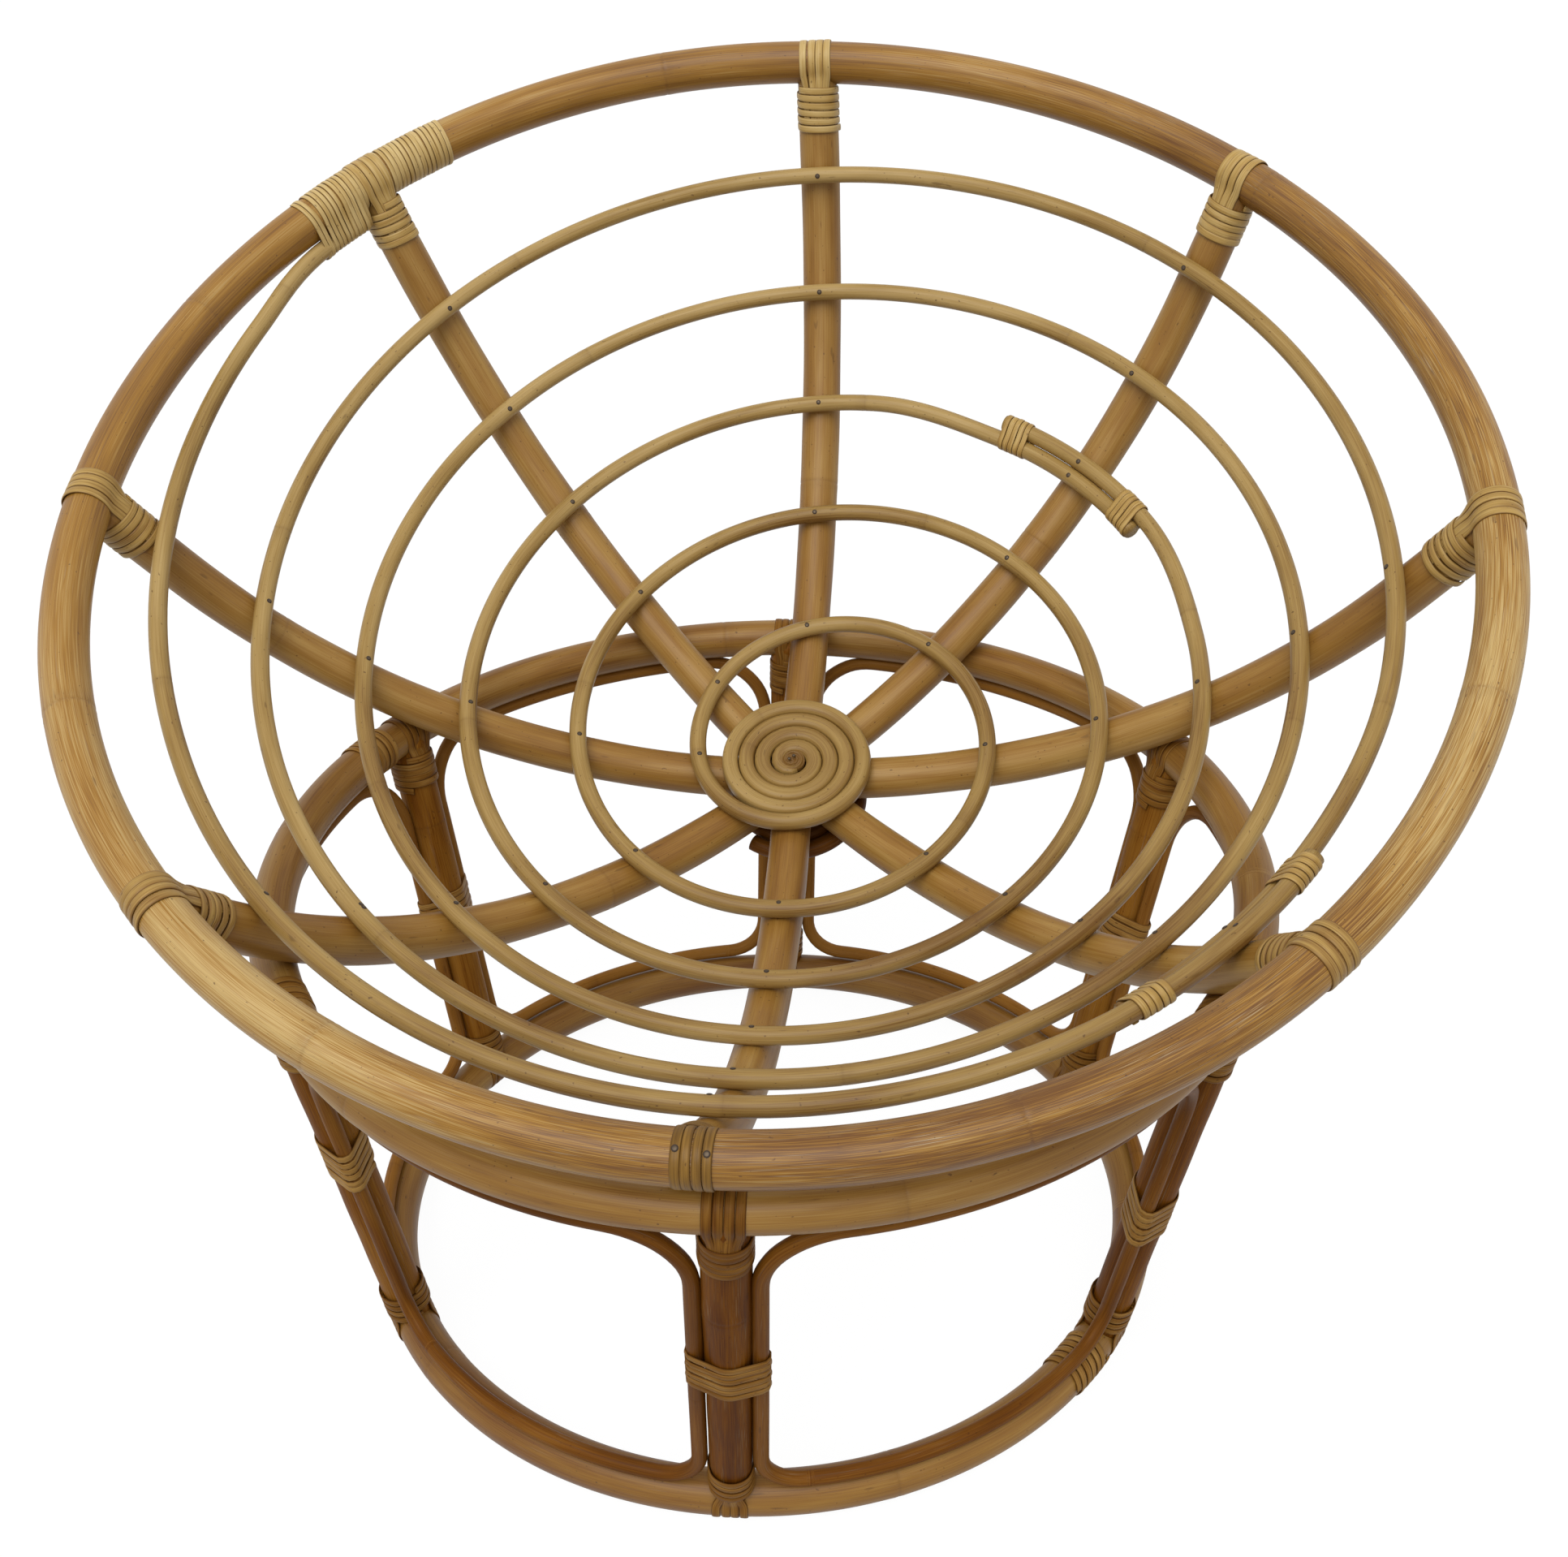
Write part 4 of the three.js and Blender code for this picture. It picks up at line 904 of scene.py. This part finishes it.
class Value:
    """A shader socket that takes part in sums."""

    def __init__(self, finish, socket):
        self.finish = finish
        self.socket = socket

    def math(self, operation, first, second):
        """What a Math node makes of two numbers."""
        return self.finish.node("ShaderNodeMath", {"operation": operation}, {0: first, 1: second})

    def __add__(self, other):
        return self.math("ADD", self, other)

    def __radd__(self, other):
        return self.math("ADD", other, self)

    def __sub__(self, other):
        return self.math("SUBTRACT", self, other)

    def __rsub__(self, other):
        return self.math("SUBTRACT", other, self)

    def __mul__(self, other):
        return self.math("MULTIPLY", self, other)

    def __rmul__(self, other):
        return self.math("MULTIPLY", other, self)


class Finish:
    """A material, or the world, that is built from expressions."""

    def __init__(self, holder):
        self.holder = holder
        holder.use_nodes = True
        self.tree = holder.node_tree
        self.tree.nodes.clear()

    def node(self, kind, settings=None, inputs=None, output=0):
        """Adds a node, sets it up, links or sets its inputs, and gives one output."""
        made = self.tree.nodes.new(kind)
        for key, value in (settings or {}).items():
            if key == "stops":
                ramp = made.color_ramp
                while len(ramp.elements) < len(value):
                    ramp.elements.new(0.5)
                for element, (position, color) in zip(ramp.elements, value):
                    element.position = position
                    element.color = color
            else:
                setattr(made, key, value)
        for key, value in (inputs or {}).items():
            socket = next(entry for place, entry in enumerate(made.inputs)
                          if key in (place, entry.identifier, entry.name))
            if isinstance(value, Value):
                self.tree.links.new(value.socket, socket)
            else:
                socket.default_value = value
        for key, socket in enumerate(made.outputs):
            if output in (key, socket.identifier, socket.name):
                return Value(self, socket)
        return None

    def attribute(self, name, output):
        """A vector or a number that the mesh carries at its points."""
        return self.node("ShaderNodeAttribute", {"attribute_name": name}, None, output)

    def stretched(self, vector, scale):
        """A vector multiplied by a scale along each axis."""
        return self.node("ShaderNodeVectorMath", {"operation": "MULTIPLY"}, {0: vector, 1: scale})

    def noise(self, vector, scale, detail, roughness=0.5):
        """Noise over the vector, with about as many cells a metre along each axis as its scale says."""
        return self.node("ShaderNodeTexNoise", None, {
            "Vector": self.stretched(vector, scale), "Scale": 1.0, "Detail": detail,
            "Roughness": roughness}, "Fac")

    def between(self, value, low, high):
        """0 where value is below low and 1 above high, with a smooth change."""
        return self.node("ShaderNodeMapRange", {"interpolation_type": "SMOOTHSTEP"},
                         {"Value": value, "From Min": low, "From Max": high}, "Result")

    def mixed(self, share, first, second):
        """The first colour where share is 0, and the second where it is 1."""
        return self.node("ShaderNodeMix", {"data_type": "RGBA"},
                         {"Factor_Float": share, "A_Color": first, "B_Color": second}, "Result_Color")

    def ramp(self, share, colors):
        """A colour from dark to pale, at even steps of share."""
        stops = [(k / (len(colors) - 1), color) for k, color in enumerate(colors)]
        return self.node("ShaderNodeValToRGB", {"stops": stops}, {"Fac": share}, "Color")

    def finish(self, color, roughness, height, bump, gloss):
        """Ends the material: a thinly varnished surface with a fine relief."""
        normal = self.node("ShaderNodeBump", None, {"Strength": 1.0, "Distance": bump, "Height": height})
        surface = self.node("ShaderNodeBsdfPrincipled", None, {
            "Base Color": color, "Roughness": roughness, "Normal": normal, "Coat Weight": 0.4 * gloss,
            "Coat Roughness": 0.25, "Specular IOR Level": gloss})
        self.node("ShaderNodeOutputMaterial", None, {"Surface": surface})
        return self.holder

    def seen(self):
        """1 for rays that come from the camera, straight or by a mirror or glass, and 0 for light."""
        kinds = ("Is Camera Ray", "Is Glossy Ray", "Is Transmission Ray")
        camera, glossy, through = (self.node("ShaderNodeLightPath", None, None, kind) for kind in kinds)
        return camera + glossy + through


def srgb(red, green, blue):
    """A colour as it looks on a screen, 0 to 255, turned into the light that it stands for."""
    channels = [value / 255 for value in (red, green, blue)]
    return tuple(c / 12.92 if c <= 0.04045 else ((c + 0.055) / 1.055) ** 2.4 for c in channels) + (1.0,)


def rattan(name, slot, colors, lined, cloudy=1.0, gloss=0.3):
    """Varnished rattan: slow clouds of tone, long lines, short worn dashes, dark flecks and grown joints.

    The grain attribute unrolls the pole, so that x runs along it and y, z go round it. The
    colours go from dark to pale, and the material comes back with its slot.
    """
    f = Finish(bpy.data.materials.new(name))
    colors = [srgb(*color) for color in colors]
    grain = f.attribute("grain", "Vector")
    tone, wear, joint = (f.attribute(key, "Fac") for key in ("tone", "wear", "joint"))
    clouds = f.noise(grain, (9, 75, 75), 2.0)
    bands = f.noise(grain, (2.6, 8, 8), 1.0)
    lines = f.noise(grain, (4, 900, 900), 3.0, 0.7)
    dashes = f.noise(grain, (24, 1500, 1500), 1.0, 0.6)
    share = tone + (clouds - 0.5) * (0.9 * cloudy) + (bands - 0.5) * (0.9 * cloudy)
    share = share + (lines - 0.5) * (1.2 * lined) + (dashes - 0.5) * (wear * (2.6 * lined))
    color = f.ramp(share, colors)
    deep = f.between(lines, 0.60, 0.72) * 0.30 + f.between(dashes, 0.62, 0.76) * wear * 0.6
    color = f.mixed(deep * lined, color, colors[0])
    bright = f.between(1.0 - dashes, 0.60, 0.73) * wear * f.between(clouds, 0.38, 0.58)
    color = f.mixed(bright * (0.7 * lined), color, f.mixed(0.5, colors[-1], srgb(226, 204, 164)))
    marks = f.between(f.noise(grain, (45, 200, 200), 1.0), 0.72, 0.80)
    specks = f.between(f.noise(grain, (380, 520, 520), 0.0), 0.79, 0.85)
    color = f.mixed(marks * 0.4 + specks * 0.6, color, srgb(74, 42, 16))
    color = f.mixed(joint * 0.22, color, srgb(90, 54, 20))
    height = lines * 0.4 + dashes * wear * 0.5 - specks * 0.4 - joint * 0.4
    return f.finish(color, 0.33 + 0.20 * lines + 0.14 * clouds, height, 0.00014, gloss), slot


def cane(name, colors, gloss=0.25):
    """Flat cane: clouds of tone, lines along the strip, edges darkened as painted shade of the gaps between
    strips, brown patches and small dark pits.
    """
    f = Finish(bpy.data.materials.new(name))
    colors = [srgb(*color) for color in colors]
    grain = f.attribute("grain", "Vector")
    tone = f.attribute("tone", "Fac")
    edge = f.node("ShaderNodeSeparateXYZ", None, {"Vector": grain}, "Z")
    clouds = f.noise(grain, (26, 90, 0), 2.0)
    lines = f.noise(grain, (14, 1100, 0), 3.0, 0.6)
    share = tone + (clouds - 0.5) * 1.1 + (lines - 0.5) * 1.3
    color = f.ramp(share, colors)
    patches = f.between(f.noise(grain, (40, 150, 0), 2.0), 0.62, 0.78)
    color = f.mixed(patches * 0.45, color, srgb(140, 86, 40))
    pits = f.between(f.noise(grain, (260, 420, 0), 0.0), 0.77, 0.84)
    color = f.mixed(pits * 0.6, color, srgb(78, 48, 20))
    # Painted shade: each strip's edges are darkened to stand for the shade in the gaps between neighbouring
    # strips.
    color = f.mixed(f.between(edge, 0.74, 0.98) * 0.75, color, f.mixed(0.5, colors[0], srgb(74, 44, 16)))
    height = lines * 0.6 - pits * 0.5
    return f.finish(color, 0.38 + 0.18 * lines, height, 0.00012, gloss), "cane_binding"


def nail_metal(name, steel, dark):
    """A dull steel head with a dark outer ring. The third grain coordinate is the distance from the middle.
    """
    f = Finish(bpy.data.materials.new(name))
    grain = f.attribute("grain", "Vector")
    away = f.node("ShaderNodeSeparateXYZ", None, {"Vector": grain}, "Z")
    rim = f.between(away, 0.0012, 0.0017)
    cloud = f.noise(grain, (1500, 1500, 400), 2.0)
    color = f.mixed(rim, f.mixed(cloud * 0.6, steel, dark), dark)
    surface = f.node("ShaderNodeBsdfPrincipled", None, {
        "Base Color": color, "Roughness": 0.4 + 0.3 * rim, "Metallic": 0.5 - 0.5 * rim})
    f.node("ShaderNodeOutputMaterial", None, {"Surface": surface})
    return f.holder, "rattan_core"


POLE = rattan("brown rattan pole", "rattan_pole", ((112, 68, 20), (152, 110, 46), (186, 150, 84)), 0.5)
RIM_POLE = rattan("honey rattan rim", "rattan_pole", ((110, 68, 14), (160, 114, 36), (202, 170, 108)),
                  1.0, 0.8, 0.4)
LEG_WOOD = rattan("dark rattan leg", "rattan_pole", ((84, 43, 5), (122, 72, 14), (156, 106, 38)),
                  0.7, 1.0, 0.05)
CORE = rattan("olive rattan core", "rattan_core", ((118, 82, 32), (162, 130, 70), (190, 160, 102)), 0.6, 1.2)
CORE_DARK = rattan("brown rattan core", "rattan_core", ((78, 41, 7), (114, 68, 16), (150, 102, 40)),
                   0.6, 1.0, 0.08)
DISC_CORE = CORE_DARK[0], "cane_binding"
CANE_STRIP = cane("pale cane strip", ((126, 86, 34), (184, 149, 82), (214, 187, 128)))
CANE_OLIVE = cane("olive cane strip", ((104, 72, 22), (148, 110, 46), (184, 150, 82)), 0.2)
# Painted shade: the base's cane is the pale cane darkened into brown, for the shade under the bowl.
CANE_BASE_SHADED = cane("brown cane strip, painted shade", ((90, 51, 12), (135, 92, 35), (178, 138, 76)), 0.06)
NAIL = nail_metal("dull nail head", srgb(92, 78, 60), srgb(48, 32, 18))


def place_camera():
    """The photograph's own camera, solved from the chair's rings, ribs and spiral."""
    camera = bpy.data.cameras.new("camera")
    camera.sensor_width = SENSOR
    camera.sensor_fit = "HORIZONTAL"
    width, height = PICTURE
    camera.lens = FOCAL * SENSOR / width
    camera.shift_x = (width / 2 - OPTICAL_MIDDLE[0]) / width
    camera.shift_y = (OPTICAL_MIDDLE[1] - height / 2) / width
    holder = bpy.data.objects.new("camera", camera)
    basis = np.eye(4)
    basis[:3, 0], basis[:3, 1], basis[:3, 2] = CAMERA_RIGHT, CAMERA_UP, np.cross(CAMERA_RIGHT, CAMERA_UP)
    basis[:3, 3] = CAMERA_PLACE * 0.001
    holder.matrix_world = Matrix(basis.tolist())
    bpy.context.scene.collection.objects.link(holder)
    bpy.context.scene.camera = holder


def place_floor():
    """A wide pale floor that looks white and keeps a faint shadow."""
    size, albedo = FLOOR["size"], FLOOR["albedo"]
    mesh = bpy.data.meshes.new("floor")
    corners = [(-size, -size, 0), (size, -size, 0), (size, size, 0), (-size, size, 0)]
    mesh.from_pydata(corners, [], [(0, 1, 2, 3)])
    f = Finish(bpy.data.materials.new("pale floor"))
    matt = f.node("ShaderNodeBsdfDiffuse", None, {"Color": (albedo, albedo, albedo, 1.0)})
    glow = f.node("ShaderNodeEmission", None, {"Color": (1.0, 1.0, 1.0, 1.0), "Strength": FLOOR["glow"]})
    shown = f.node("ShaderNodeMixShader", None, {0: f.seen() * FLOOR["share"], 1: matt, 2: glow})
    f.node("ShaderNodeOutputMaterial", None, {"Surface": shown})
    mesh.materials.append(f.holder)
    floor = bpy.data.objects.new("floor", mesh)
    bpy.context.scene.collection.objects.link(floor)


def place_light():
    """An even white sky and one broad soft lamp high over the sitter's side."""
    f = Finish(bpy.data.worlds.new("studio"))
    white = {"Color": (1.0, 1.0, 1.0, 1.0), "Strength": SKY_LIGHT + f.seen() * (1 - SKY_LIGHT)}
    f.node("ShaderNodeOutputWorld", None, {"Surface": f.node("ShaderNodeBackground", None, white)})
    bpy.context.scene.world = f.holder
    lamp = bpy.data.lights.new("soft lamp", "SUN")
    lamp.energy = LAMP["strength"]
    lamp.angle = math.radians(LAMP["width"])
    holder = bpy.data.objects.new("soft lamp", lamp)
    holder.rotation_euler = (*map(math.radians, LAMP["lean"]), 0)
    bpy.context.scene.collection.objects.link(holder)


place_camera()
place_floor()
place_light()
place_base()
place_bowl_poles()
place_spiral()
place_base_cane()
place_rim_cane()
place_splice_cane()
place_hub_disc()
place_nails()
place_hub_plug()
bpy.context.scene.view_settings.view_transform = "Standard"
